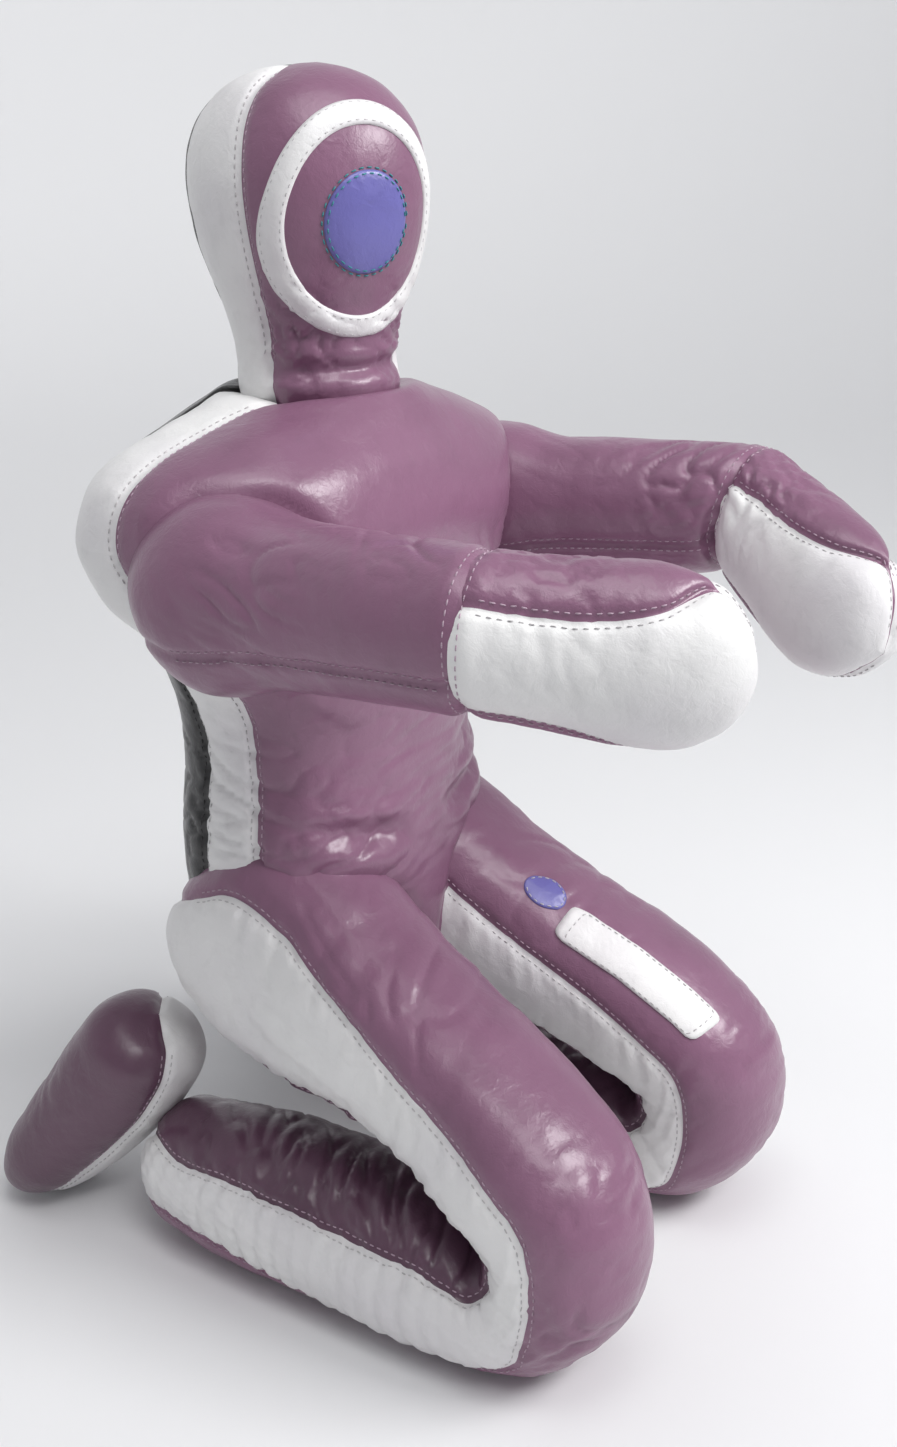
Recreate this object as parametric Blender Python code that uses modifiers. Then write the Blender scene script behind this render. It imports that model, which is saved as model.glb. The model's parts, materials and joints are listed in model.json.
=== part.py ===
"""Kneeling grappling dummy: stuffed vinyl torso, head, arms, legs and feet, sewn from separate panels.

Frame: +Z up, origin on the floor under the middle of the dummy. It faces -Y, and its right side is -X.
"""

import math

import bmesh
import bpy
from mathutils import Matrix, Vector

# Skin and gaps
SKIN = 0.0020  # thickness of every sewn vinyl panel
INSET = 0.0075  # how far the filling sits inside the outer surface
SEAM_GAP = 0.0012  # half of the gap between neighbouring panels
SOCKET = 0.0025  # clearance between a ball end and the end that it turns in
FLOOR = 0.0046  # height in the tables below at which the shins are flat on the floor
SHIFT = Vector((0.0, -0.0262, -FLOOR))  # puts the origin on the floor in the middle of the dummy's box

# Torso: height, centre y, half width, half depth, squareness of the section
TORSO_SECTIONS = (
    (0.262, 0.112, 0.040, 0.050, 2.0),
    (0.280, 0.124, 0.112, 0.096, 2.2),
    (0.325, 0.131, 0.150, 0.110, 2.4),
    (0.385, 0.132, 0.166, 0.111, 2.6),
    (0.440, 0.135, 0.164, 0.110, 2.5),
    (0.500, 0.136, 0.155, 0.107, 2.4),
    (0.560, 0.137, 0.160, 0.109, 2.5),
    (0.618, 0.140, 0.190, 0.115, 2.6),
    (0.668, 0.142, 0.234, 0.129, 2.7),
    (0.720, 0.142, 0.250, 0.136, 2.7),
    (0.765, 0.141, 0.236, 0.126, 2.5),
    (0.798, 0.139, 0.176, 0.104, 2.3),
    (0.815, 0.137, 0.126, 0.091, 2.1),
)
# Front and back seam of the side gusset: share of the height, degrees round the section
TORSO_FRONT_SEAM = ((0.0, 168.0), (0.45, 168.0), (0.65, 184.0), (0.85, 184.0), (1.0, 166.0))
TORSO_BACK_SEAM = ((0.0, 192.0), (0.45, 192.0), (0.65, 222.0), (0.85, 230.0), (1.0, 232.0))

# Head and neck, in the same five numbers. The head looks a little to its right
HEAD_SECTIONS = (
    (0.866, 0.137, 0.074, 0.077, 2.0),
    (0.890, 0.139, 0.078, 0.083, 2.1),
    (0.924, 0.142, 0.088, 0.095, 2.2),
    (0.966, 0.145, 0.097, 0.107, 2.2),
    (1.008, 0.146, 0.099, 0.111, 2.2),
    (1.046, 0.146, 0.090, 0.103, 2.1),
    (1.072, 0.145, 0.071, 0.082, 2.0),
    (1.087, 0.144, 0.045, 0.053, 2.0),
    (1.094, 0.143, 0.012, 0.014, 2.0),
)
HEAD_GUSSET = (153.0, 204.0)
HEAD_TURN = -25.0
NECK_PIVOT = Vector((0.0, 0.135, 0.840))
NECK_BALL = (0.075, 0.077)
FACE_CENTRE_Z = 0.968
FACE_RING = (0.080, 0.094, 0.018)  # half width, half height and band width of the sewn ring
FACE_DISC = (0.038, 0.041)
FACE_LIFT = 0.0026  # clearance of the sewn-on pieces over the face

# Right arm (the left one mirrors it): pivots, and station = share of the way, half width, half height
SHOULDER = Vector((-0.206, 0.082, 0.686))
SHOULDER_BALL = (0.070, 0.072)
ELBOW = Vector((-0.240, -0.182, 0.703))
ELBOW_BALL = (0.058, 0.058)
UPPER_ARM = ((0.0, 0.070, 0.072), (0.25, 0.065, 0.068), (0.5, 0.061, 0.064), (0.87, 0.058, 0.060))
SHOULDER_TURNS = (-32.0, -20.0, -10.0, 0.0, 10.0, 20.0, 27.0)  # degrees that the armhole makes room for
ARM_SEAM = 206.0
ELBOW_TURNS = (-22.0, -11.0, 0.0, 7.0, 14.0)
HAND_END = Vector((-0.142, -0.354, 0.672))
LEFT_HAND_DROP = 0.060  # how much lower the left mitt hangs
FOREARM = ((0.0, 0.058, 0.058), (0.2, 0.054, 0.062), (0.42, 0.052, 0.067), (0.62, 0.050, 0.069),
           (0.80, 0.044, 0.062), (0.92, 0.032, 0.044), (0.985, 0.015, 0.020), (1.0, 0.006, 0.007))

# Right leg (the left one mirrors it): pivots, and station = x, y, z, half width, half depth, squareness
HIP = Vector((-0.100, 0.109, 0.319))
HIP_BALL = (0.090, 0.111)
HIP_SQUARE = 2.7
HIP_TURNS = (-17.0, -8.0, 0.0, 8.0, 15.0, 22.0)
THIGH = (
    (-0.103, 0.080, 0.299, 0.090, 0.104, 2.6),
    (-0.111, 0.020, 0.281, 0.087, 0.086, 2.5),
    (-0.122, -0.052, 0.260, 0.086, 0.075, 2.4),
    (-0.132, -0.118, 0.230, 0.085, 0.074, 2.4),
    (-0.139, -0.162, 0.200, 0.085, 0.074, 2.4),
    (-0.143, -0.177, 0.176, 0.085, 0.076, 2.4),
)
KNEE = Vector((-0.148, -0.194, 0.096))
KNEE_BALL = (0.083, 0.090)
KNEE_SQUARE = 2.3
SHIN = (
    (-0.148, -0.194, 0.096, 0.083, 0.090, 2.3),
    (-0.151, -0.120, 0.067, 0.083, 0.063, 2.4),
    (-0.154, -0.045, 0.073, 0.081, 0.070, 2.4),
    (-0.157, 0.035, 0.075, 0.078, 0.072, 2.4),
    (-0.160, 0.115, 0.076, 0.074, 0.074, 2.3),
    (-0.163, 0.185, 0.074, 0.066, 0.072, 2.0),
)
ANKLE = Vector((-0.163, 0.185, 0.074))
ANKLE_BALL = (0.066, 0.072)
FOOT = (
    (-0.164, 0.236, 0.230, 0.012, 0.014, 2.0),
    (-0.164, 0.239, 0.224, 0.040, 0.040, 2.1),
    (-0.165, 0.247, 0.208, 0.056, 0.054, 2.2),
    (-0.170, 0.269, 0.172, 0.062, 0.060, 2.3),
    (-0.177, 0.300, 0.129, 0.064, 0.058, 2.3),
    (-0.187, 0.337, 0.084, 0.064, 0.052, 2.3),
    (-0.196, 0.370, 0.046, 0.060, 0.043, 2.2),
    (-0.202, 0.389, 0.024, 0.044, 0.027, 2.1),
    (-0.204, 0.397, 0.0135, 0.012, 0.008, 2.0),
)
LEG_SEAMS = (154.0, 238.0)  # front and back seam of the outer gusset on the thigh
SHIN_SEAMS = (150.0, 208.0)

# Label patch and disc on the left thigh: share of the way along it, degrees round it
PATCH_SHARES = (0.46, 0.80)
PATCH_DEGREES = (46.0, 78.0)
DISC_AT = (0.35, 66.0)
DISC_RADIUS = 0.017
PATCH_LIFT = 0.0022
PATCH_THICK = 0.0012

# Zip down the middle of the back
ZIP_Z = (0.440, 0.720)
ZIP_WIDTH = 0.026
ZIP_LIFT = 0.0022
ZIP_THICK = 0.0015
SLIDER = (0.010, 0.005, 0.014)
PULL = (0.007, 0.0016, 0.030)

SIDES = {"R": 1.0, "L": -1.0}

# The joint that each moving piece turns about, by the first word of its name
PIVOTS = {
    "head": NECK_PIVOT,
    "face": NECK_PIVOT,
    "upper": SHOULDER,
    "mitt": ELBOW,
    "thigh": HIP,
    "shin": KNEE,
    "foot": ANKLE,
}

PURPLE = (0.28, 0.135, 0.235)
DARK_PURPLE = (0.045, 0.035, 0.045)
WHITE = (0.86, 0.86, 0.84)
BLUE = (0.17, 0.16, 0.46)
FILLING = (0.42, 0.40, 0.36)
STEEL = (0.55, 0.55, 0.56)


def clear_scene():
    for obj in list(bpy.data.objects):
        bpy.data.objects.remove(obj, do_unlink=True)
    for name in ("GrapplingDummy", "Cutters"):
        bpy.context.scene.collection.children.link(bpy.data.collections.new(name))
    bpy.data.collections["Cutters"].hide_render = True


def material(name, colour, roughness, metallic=0.0):
    found = bpy.data.materials.get(name)
    if found:
        return found
    made = bpy.data.materials.new(name)
    made.use_nodes = True
    made.diffuse_color = (*colour, 1.0)
    shader = made.node_tree.nodes["Principled BSDF"]
    shader.inputs["Base Color"].default_value = (*colour, 1.0)
    shader.inputs["Roughness"].default_value = roughness
    shader.inputs["Metallic"].default_value = metallic
    return made


def vinyl(colour_name):
    colours = {"purple": PURPLE, "dark": DARK_PURPLE, "white": WHITE, "blue": BLUE}
    return material("vinyl_" + colour_name, colours[colour_name], 0.42)


def filling():
    return material("textile_filling", FILLING, 0.95)


def steel():
    return material("zip_metal", STEEL, 0.35, 1.0)


def node(name, mesh_data, shade, collection="GrapplingDummy"):
    obj = bpy.data.objects.new(name, mesh_data)
    bpy.data.collections[collection].objects.link(obj)
    if shade:
        mesh_data.materials.append(shade)
    return obj


def to_mesh(name, bm, side=1.0):
    """Puts one side's shape in place, mirrored for the left, with its faces turned outward."""
    for vert in bm.verts:
        vert.co.x *= side
        vert.co += SHIFT
    if side < 0:
        bmesh.ops.reverse_faces(bm, faces=bm.faces)
    data = bpy.data.meshes.new(name)
    bm.to_mesh(data)
    bm.free()
    data.shade_smooth()
    return data


def power(value, exponent):
    return math.copysign(abs(value) ** exponent, value)


def station(centre, along, across, front, size, squareness=2.0):
    """One section of a stuffed tube: its middle, its two directions and its two half sizes."""
    along = along.normalized()
    side = (across - along * across.dot(along)).normalized()
    facing = side.cross(along)
    if facing.dot(front) < 0:
        facing = -facing
    return centre, side, facing, size[0], size[1], squareness


def drum_point(section, degrees):
    """A point of a section that cuts a ball at `offset` from its middle."""
    centre, side, facing, half_width, half_depth, squareness, offset = section
    angle = math.radians(degrees)
    share = min(1.0, abs(offset) / half_depth)
    reach = half_width * (1.0 - share ** squareness) ** (1.0 / squareness)
    x = reach * power(math.cos(angle), 2.0 / squareness)
    radius = half_depth * (1.0 - abs(x / half_width) ** squareness) ** (1.0 / squareness)
    y = math.copysign(math.sqrt(max(0.0, radius * radius - offset * offset)), math.sin(angle))
    return centre + side * x + facing * y


def section_point(section, degrees):
    if len(section) == 7:
        return drum_point(section, degrees)
    centre, side, facing, half_width, half_depth, squareness = section
    angle = math.radians(degrees)
    exponent = 2.0 / squareness
    x = half_width * power(math.cos(angle), exponent)
    y = half_depth * power(math.sin(angle), exponent)
    return centre + side * x + facing * y


def skin_rings(bm, rings, closed):
    """Faces between neighbouring rings of vertices."""
    rows = [[bm.verts.new(point) for point in ring] for ring in rings]
    for row, following in zip(rows, rows[1:]):
        count = len(row) if closed else len(row) - 1
        for i in range(count):
            j = (i + 1) % len(row)
            bm.faces.new((row[i], row[j], following[j], following[i]))
    if closed:
        bm.faces.new(reversed(rows[0]))
        bm.faces.new(rows[-1])
    return rows


def face_outward(bm, sections):
    """Turns the faces so that they look away from the middle of the tube."""
    middle = sections[len(sections) // 2][0]
    bm.normal_update()
    vote = sum(f.normal.dot(f.calc_center_median() - middle) * f.calc_area() for f in bm.faces)
    if vote < 0:
        bmesh.ops.reverse_faces(bm, faces=bm.faces)


def close_outward(bm):
    """Makes the faces of a closed shape look outward."""
    bmesh.ops.recalc_face_normals(bm, faces=bm.faces)
    if bm.calc_volume(signed=True) < 0:
        bmesh.ops.reverse_faces(bm, faces=bm.faces)
    bm.normal_update()


def add_filling(name, sections, side=1.0, steps=12):
    """The stuffing of one segment: a closed tube that sits inside its panels."""
    bm = bmesh.new()
    angles = [360.0 * i / steps for i in range(steps)]
    skin_rings(bm, [[section_point(s, a) for a in angles] for s in sections], True)
    close_outward(bm)
    shifts = [vert.normal * -INSET for vert in bm.verts]
    for vert, shift in zip(bm.verts, shifts):
        vert.co += shift
    return node(name, to_mesh(name, bm, side), filling())


def between(table, share):
    """Reads a seam's angle from (share, angle) pairs."""
    if not isinstance(table, tuple):
        return table
    for (s0, a0), (s1, a1) in zip(table, table[1:]):
        if share <= s1:
            return a0 + (a1 - a0) * max(0.0, share - s0) / (s1 - s0)
    return table[-1][1]


def seam_inset(section, degrees, toward):
    """The angle that lies one seam gap from a seam, on the side of `toward`."""
    here = section_point(section, degrees)
    step = 2.0 if toward > degrees else -2.0
    distance = (section_point(section, degrees + step) - here).length
    return degrees + step * min(4.0, SEAM_GAP / max(distance, 1e-5))


def add_panel(name, colour_name, sections, seams, side=1.0, steps=6, skip=(0, 0)):
    """One sewn panel: the strip of the tube between two seams, with the thickness of the vinyl."""
    used = sections[skip[0]: len(sections) - skip[1]]
    rings = []
    for section in used:
        share = sections.index(section) / (len(sections) - 1)
        start = between(seams[0], share)
        end = between(seams[1], share)
        start, end = seam_inset(section, start, end), seam_inset(section, end, start)
        rings.append([section_point(section, start + (end - start) * i / steps) for i in range(steps + 1)])
    for ring in rings:
        for point in ring:
            point.z = max(point.z, FLOOR)
    bm = bmesh.new()
    skin_rings(bm, rings, False)
    face_outward(bm, used)
    obj = node(name, to_mesh(name, bm, side), vinyl(colour_name))
    solid = obj.modifiers.new("Vinyl", "SOLIDIFY")
    solid.thickness = SKIN
    solid.offset = -1.0
    return obj


def ball_stations(pivot, along, front, size, angles, squareness=2.0):
    """Sections of a ball end; the angles run from one pole (-90) through the equator (0)."""
    made = []
    for degrees in angles:
        offset = size[1] * math.sin(math.radians(degrees))
        centre = pivot + along.normalized() * offset
        made.append(station(centre, along, Vector((1, 0, 0)), front, size, squareness) + (offset,))
    return made


def ball_points(pivot, size, squareness):
    """Points all over the clearance ball of a joint; the ball is round about the joint's side axis."""
    points = []
    for i in range(13):
        across = math.cos(math.pi * i / 12)
        ring = math.sqrt(max(0.0, 1.0 - across * across)) ** (2.0 / squareness)
        x = power(across, 2.0 / squareness) * (size[0] + SOCKET)
        for k in range(24 if 0 < i < 12 else 1):
            angle = 2 * math.pi * k / 24
            radius = ring * (size[1] + SOCKET)
            points.append(pivot + Vector((x, radius * math.cos(angle), radius * math.sin(angle))))
    return points


def sweep_points(pivot, tube, turns, axis="X"):
    """Points of the tube that leads away from a joint, with clearance, over the joint's whole turn."""
    points = []
    for degrees in turns:
        turn = Matrix.Rotation(math.radians(degrees), 3, axis)
        for centre, side, facing, half_width, half_depth, squareness in tube:
            wider = (centre, side, facing, half_width + SOCKET, half_depth + SOCKET, squareness)
            for k in range(24):
                points.append(pivot + turn @ (section_point(wider, 15.0 * k) - pivot))
    return points


def cutter(name, side, points):
    """The hollow that an end turns in: the smallest convex shape round the points that it must clear."""
    bm = bmesh.new()
    for point in points:
        bm.verts.new(point)
    hull = bmesh.ops.convex_hull(bm, input=bm.verts)
    inside = [item for item in hull["geom_interior"] if isinstance(item, bmesh.types.BMVert)]
    bmesh.ops.delete(bm, geom=inside, context="VERTS")
    close_outward(bm)
    obj = node(name, to_mesh(name, bm, side), None, "Cutters")
    obj.display_type = "WIRE"
    obj.hide_render = True
    return obj


def hollow(objects, cutters):
    for obj in objects:
        for tool in cutters:
            cut = obj.modifiers.new("Socket_" + tool.name, "BOOLEAN")
            cut.operation = "DIFFERENCE"
            cut.solver = "EXACT"
            cut.object = tool


def upright(rows):
    """Sections of the torso or the head from their table."""
    up = Vector((0, 0, 1))
    made = []
    for z, y, half_width, half_depth, squareness in rows:
        made.append(station(Vector((0, y, z)), up, Vector((1, 0, 0)), Vector((0, -1, 0)),
                            (half_width, half_depth), squareness))
    return made


def tangents(points):
    """The direction of a path at each of its points."""
    made = []
    for i in range(len(points)):
        before = points[max(0, i - 1)]
        after = points[min(len(points) - 1, i + 1)]
        made.append((after - before).normalized())
    return made


def path_sections(rows, front):
    """Sections of a leg segment or a foot; `front` gives the side of its front panel."""
    points = [Vector(row[:3]) for row in rows]
    across = Vector((1, 0, 0))
    made = []
    for point, along, row in zip(points, tangents(points), rows):
        made.append(station(point, along, across, front, row[3:5], row[5]))
    return made


def arm_sections(start, end, rows):
    along = end - start
    across = Vector((1, 0, 0))
    made = []
    for share, half_width, half_height in rows:
        made.append(station(start + along * share, along, across, Vector((0, 0, 1)),
                            (half_width, half_height), 2.1))
    return made


def mirrored(seam):
    """The same seam on the other side of the section."""
    return tuple((share, 180.0 - degrees) for share, degrees in seam)


def turned(seam):
    return tuple((share, 360.0 + degrees) for share, degrees in seam)


def build_torso(cutters):
    sections = upright(TORSO_SECTIONS)
    front, back = TORSO_FRONT_SEAM, TORSO_BACK_SEAM
    made = [add_filling("torso_filling", sections, steps=20)]
    purple_seams = (mirrored(front), front)
    made.append(add_panel("torso_front_panel", "purple", sections, purple_seams, steps=10, skip=(1, 0)))
    made.append(add_panel("torso_back_panel", "dark", sections, (back, turned(mirrored(back))), steps=8,
                          skip=(1, 0)))
    for label, side in SIDES.items():
        made.append(add_panel("torso_side_gusset_" + label, "white", sections, (front, back), side, 2, (1, 0)))
    hollow(made, cutters)


def torso_back(z):
    """The y of the middle of the torso's back at height z."""
    for low, high in zip(TORSO_SECTIONS, TORSO_SECTIONS[1:]):
        if z <= high[0]:
            t = (z - low[0]) / (high[0] - low[0])
            return low[1] + low[3] + (high[1] + high[3] - low[1] - low[3]) * t
    return TORSO_SECTIONS[-1][1] + TORSO_SECTIONS[-1][3]


def build_zip():
    """The closure that the filling goes in through, flat on the back panel."""
    bm = bmesh.new()
    heights = [ZIP_Z[0] + (ZIP_Z[1] - ZIP_Z[0]) * i / 8 for i in range(9)]
    rings = [[Vector((x * ZIP_WIDTH / 2, torso_back(z) + ZIP_LIFT, z)) for x in (-1, 0, 1)] for z in heights]
    skin_rings(bm, rings, False)
    bm.normal_update()
    if sum(face.normal.y for face in bm.faces) < 0:
        bmesh.ops.reverse_faces(bm, faces=bm.faces)
    tape = node("zip_tape", to_mesh("zip_tape", bm), vinyl("dark"))
    solid = tape.modifiers.new("Tape", "SOLIDIFY")
    solid.thickness = ZIP_THICK
    solid.offset = 1.0
    top = ZIP_Z[1] - 0.012
    y = torso_back(top) + ZIP_LIFT + ZIP_THICK + 0.0012 + SLIDER[1] / 2
    add_box("zip_slider", Vector((0, y, top)), SLIDER)
    y += SLIDER[1] / 2 + 0.0005 + PULL[1] / 2
    add_box("zip_pull", Vector((0, y, top - PULL[2] / 2 + 0.004)), PULL)


def add_box(name, centre, size):
    bm = bmesh.new()
    bmesh.ops.create_cube(bm, size=1.0)
    for vert in bm.verts:
        vert.co = centre + Vector((vert.co.x * size[0], vert.co.y * size[1], vert.co.z * size[2]))
    obj = node(name, to_mesh(name, bm), steel())
    bevel = obj.modifiers.new("Edges", "BEVEL")
    bevel.width = 0.0004
    bevel.segments = 1


def turn_head(objects):
    """Turns the head round the neck, so that the face looks a little to the dummy's right."""
    middle = Matrix.Translation(NECK_PIVOT + SHIFT)
    turn = middle @ Matrix.Rotation(math.radians(HEAD_TURN), 4, "Z") @ middle.inverted()
    for obj in objects:
        obj.data.transform(turn)


def build_head():
    neck = ball_stations(NECK_PIVOT, Vector((0, 0, 1)), Vector((0, -1, 0)), NECK_BALL,
                         (-84.0, -60.0, -35.0, -12.0))
    body = upright(HEAD_SECTIONS)
    made = [add_filling("head_filling", neck + body, steps=16)]
    skin = neck[2:] + body
    front, back = HEAD_GUSSET
    crown = ((0.0, front), (0.8, front), (1.0, 176.0))
    nape = ((0.0, back), (0.8, back), (1.0, 184.0))
    crown_left = ((0.0, 180.0 - front), (0.8, 180.0 - front), (1.0, 4.0))
    nape_left = ((0.0, 540.0 - back), (0.8, 540.0 - back), (1.0, 356.0))
    made.append(add_panel("head_front_panel", "purple", skin, (crown_left, crown), steps=8))
    made.append(add_panel("head_back_panel", "dark", skin, (nape, nape_left), steps=6))
    for label, side in SIDES.items():
        made.append(add_panel("head_side_gusset_" + label, "white", skin, (crown, nape), side, 3, (0, 1)))
    return made


def face_front(x, z):
    """The y of the head's outer surface in front of the face, at width x and height z."""
    rows = HEAD_SECTIONS
    for low, high in zip(rows, rows[1:]):
        if z <= high[0]:
            t = (z - low[0]) / (high[0] - low[0])
            centre, width, depth, power_n = [low[i] + (high[i] - low[i]) * t for i in (1, 2, 3, 4)]
            return centre - depth * max(0.0, 1.0 - abs(x / width) ** power_n) ** (1.0 / power_n)
    return rows[-1][1]


def face_patch(name, colour_name, outer, inner, lift):
    """A flat piece of vinyl sewn on the face: a disc, or a ring if it has an inner outline."""
    around = 28
    levels = 2
    bm = bmesh.new()
    rings = []
    for k in range(levels + 1):
        t = k / levels
        half_width = outer[0] + (inner[0] - outer[0]) * t
        half_height = outer[1] + (inner[1] - outer[1]) * t
        ring = []
        for i in range(around):
            angle = 2 * math.pi * i / around
            x = half_width * math.cos(angle)
            z = FACE_CENTRE_Z + half_height * math.sin(angle)
            ring.append(Vector((x, face_front(x, z) - lift, z)))
        rings.append(ring)
    rows = [[bm.verts.new(point) for point in ring] for ring in rings]
    for row, following in zip(rows, rows[1:]):
        for i in range(around):
            j = (i + 1) % around
            bm.faces.new((row[i], row[j], following[j], following[i]))
    if inner[0] < 0.01:
        bm.faces.new(rows[-1])
    bm.normal_update()
    if sum(f.normal.y for f in bm.faces) > 0:
        bmesh.ops.reverse_faces(bm, faces=bm.faces)
    obj = node(name, to_mesh(name, bm), vinyl(colour_name))
    solid = obj.modifiers.new("Vinyl", "SOLIDIFY")
    solid.thickness = 0.0014
    solid.offset = 1.0
    return obj


def build_face():
    width, height, band = FACE_RING
    ring = face_patch("face_ring", "white", (width, height), (width - band, height - band), FACE_LIFT)
    disc = face_patch("face_bullseye", "blue", FACE_DISC, (0.006, 0.008), FACE_LIFT)
    return [ring, disc]


def hand_end(side):
    """The left mitt hangs a little lower than the right one."""
    return HAND_END - Vector((0, 0, LEFT_HAND_DROP if side < 0 else 0.0))


def build_arm(label, side):
    ball = ball_stations(SHOULDER, ELBOW - SHOULDER, Vector((0, 0, 1)), SHOULDER_BALL,
                         (-84.0, -62.0, -40.0, -20.0))
    tube = arm_sections(SHOULDER, ELBOW, UPPER_ARM)
    mitt = arm_sections(ELBOW, hand_end(side), FOREARM)[:1]
    points = ball_points(ELBOW, ELBOW_BALL, 2.0) + sweep_points(ELBOW, mitt, ELBOW_TURNS, "Z")
    elbow = cutter("elbow_" + label, side, points)
    made = [add_filling("upper_arm_filling_" + label, ball + tube, side)]
    skin = ball[1:] + tube
    made.append(add_panel("upper_arm_top_panel_" + label, "purple", skin, (-26.0, ARM_SEAM), side, 7))
    made.append(add_panel("upper_arm_under_panel_" + label, "purple", skin, (ARM_SEAM, 334.0), side, 4))
    hollow(made, [elbow])


def build_forearm(label, side):
    end = hand_end(side)
    ball = ball_stations(ELBOW, end - ELBOW, Vector((0, 0, 1)), ELBOW_BALL, (-84.0, -60.0, -38.0, -18.0))
    tube = arm_sections(ELBOW, end, FOREARM)
    add_filling("mitt_filling_" + label, ball + tube, side)
    tongue_out = ((0.0, 146.0), (0.55, 146.0), (0.72, 96.0), (1.0, 92.0))
    tongue_in = ((0.0, 34.0), (0.55, 34.0), (0.72, 84.0), (1.0, 88.0))
    strip_out = ((0.0, 232.0), (0.45, 232.0), (0.72, 266.0), (1.0, 268.0))
    strip_in = ((0.0, 308.0), (0.45, 308.0), (0.72, 274.0), (1.0, 272.0))
    inner_top = tuple((s, a + 360.0) for s, a in tongue_in)
    add_panel("mitt_top_panel_" + label, "purple", tube, (tongue_in, tongue_out), side, 4, (0, 2))
    add_panel("mitt_outer_panel_" + label, "white", tube, (tongue_out, strip_out), side, 6)
    add_panel("mitt_under_panel_" + label, "purple", tube, (strip_out, strip_in), side, 3, (0, 2))
    add_panel("mitt_inner_panel_" + label, "white", tube, (strip_in, inner_top), side, 6)


def build_thigh(label, side):
    front_hint = Vector((0, -0.7, 0.7))
    tube = path_sections(THIGH, front_hint)
    along = tube[1][0] - tube[0][0]
    along.x = 0.0
    ball = ball_stations(HIP, along, front_hint, HIP_BALL, (-82.0, -60.0, -38.0, -18.0), HIP_SQUARE)
    skin = ball[1:] + tube
    knee = cutter("knee_" + label, side, ball_points(KNEE, KNEE_BALL, KNEE_SQUARE))
    outer_front, outer_back = LEG_SEAMS
    inner_front, inner_back = 180.0 - outer_front, 540.0 - outer_back
    made = [add_filling("thigh_filling_" + label, ball + tube, side)]
    made.append(add_panel("thigh_front_panel_" + label, "purple", skin, (inner_front, outer_front), side, 5))
    made.append(add_panel("thigh_outer_gusset_" + label, "white", skin, (outer_front, outer_back), side, 3))
    made.append(add_panel("thigh_back_panel_" + label, "purple", skin, (outer_back, inner_back), side, 3))
    made.append(add_panel("thigh_inner_gusset_" + label, "white", skin,
                          (inner_back - 360.0, inner_front), side, 3))
    hollow(made, [knee])


def build_shin(label, side):
    floor = Vector((0, 0, -1))
    tube = path_sections(SHIN, floor)
    along = Vector((0, 1, 0))
    knee = ball_stations(KNEE, along, floor, KNEE_BALL, (-82.0, -60.0, -40.0, -20.0), KNEE_SQUARE)
    ankle = ball_stations(ANKLE, along, floor, ANKLE_BALL, (24.0, 46.0, 64.0, 82.0))
    outer_front, outer_back = SHIN_SEAMS
    inner_front, inner_back = 180.0 - outer_front, 540.0 - outer_back
    body = knee[1:] + tube + ankle[:-1]
    add_filling("shin_filling_" + label, knee + tube + ankle, side)
    add_panel("shin_front_panel_" + label, "purple", body, (inner_front, outer_front), side, 7)
    add_panel("shin_outer_gusset_" + label, "white", body, (outer_front, outer_back), side, 2)
    add_panel("shin_calf_panel_" + label, "purple", body, (outer_back, inner_back), side, 5)
    add_panel("shin_inner_gusset_" + label, "white", body, (inner_back - 360.0, inner_front), side, 2)


def build_foot(label, side):
    instep = Vector((0, -0.78, -0.62))
    tube = path_sections(FOOT, instep)
    ankle = cutter("ankle_" + label, side, ball_points(ANKLE, ANKLE_BALL, 2.0))
    made = [add_filling("foot_filling_" + label, tube, side)]
    made.append(add_panel("foot_sole_panel_" + label, "purple", tube, (118.0, 328.0), side, 8))
    made.append(add_panel("foot_instep_panel_" + label, "white", tube, (-32.0, 118.0), side, 5))
    hollow(made, [ankle])


def thigh_point(share, degrees, lift):
    """A point on the thigh at a share of its length, a little outside the panels."""
    tube = path_sections(THIGH, Vector((0, -0.7, 0.7)))
    place = share * (len(tube) - 1)
    first = min(int(place), len(tube) - 2)
    rest = place - first
    low = section_point(tube[first], degrees)
    high = section_point(tube[first + 1], degrees)
    middle = tube[first][0] + (tube[first + 1][0] - tube[first][0]) * rest
    point = low + (high - low) * rest
    return point + (point - middle).normalized() * lift


def sewn_on(name, colour_name, rings, closed):
    """A thin piece of vinyl on the left thigh, from rows of points."""
    bm = bmesh.new()
    rows = [[bm.verts.new(point) for point in ring] for ring in rings]
    for row, following in zip(rows, rows[1:]):
        count = len(row) if closed else len(row) - 1
        for i in range(count):
            j = (i + 1) % len(row)
            bm.faces.new((row[i], row[j], following[j], following[i]))
    if closed:
        bm.faces.new(rows[-1])
    bm.normal_update()
    if sum(face.normal.z for face in bm.faces) < 0:
        bmesh.ops.reverse_faces(bm, faces=bm.faces)
    obj = node(name, to_mesh(name, bm, SIDES["L"]), vinyl(colour_name))
    solid = obj.modifiers.new("Vinyl", "SOLIDIFY")
    solid.thickness = PATCH_THICK
    solid.offset = 1.0


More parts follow.
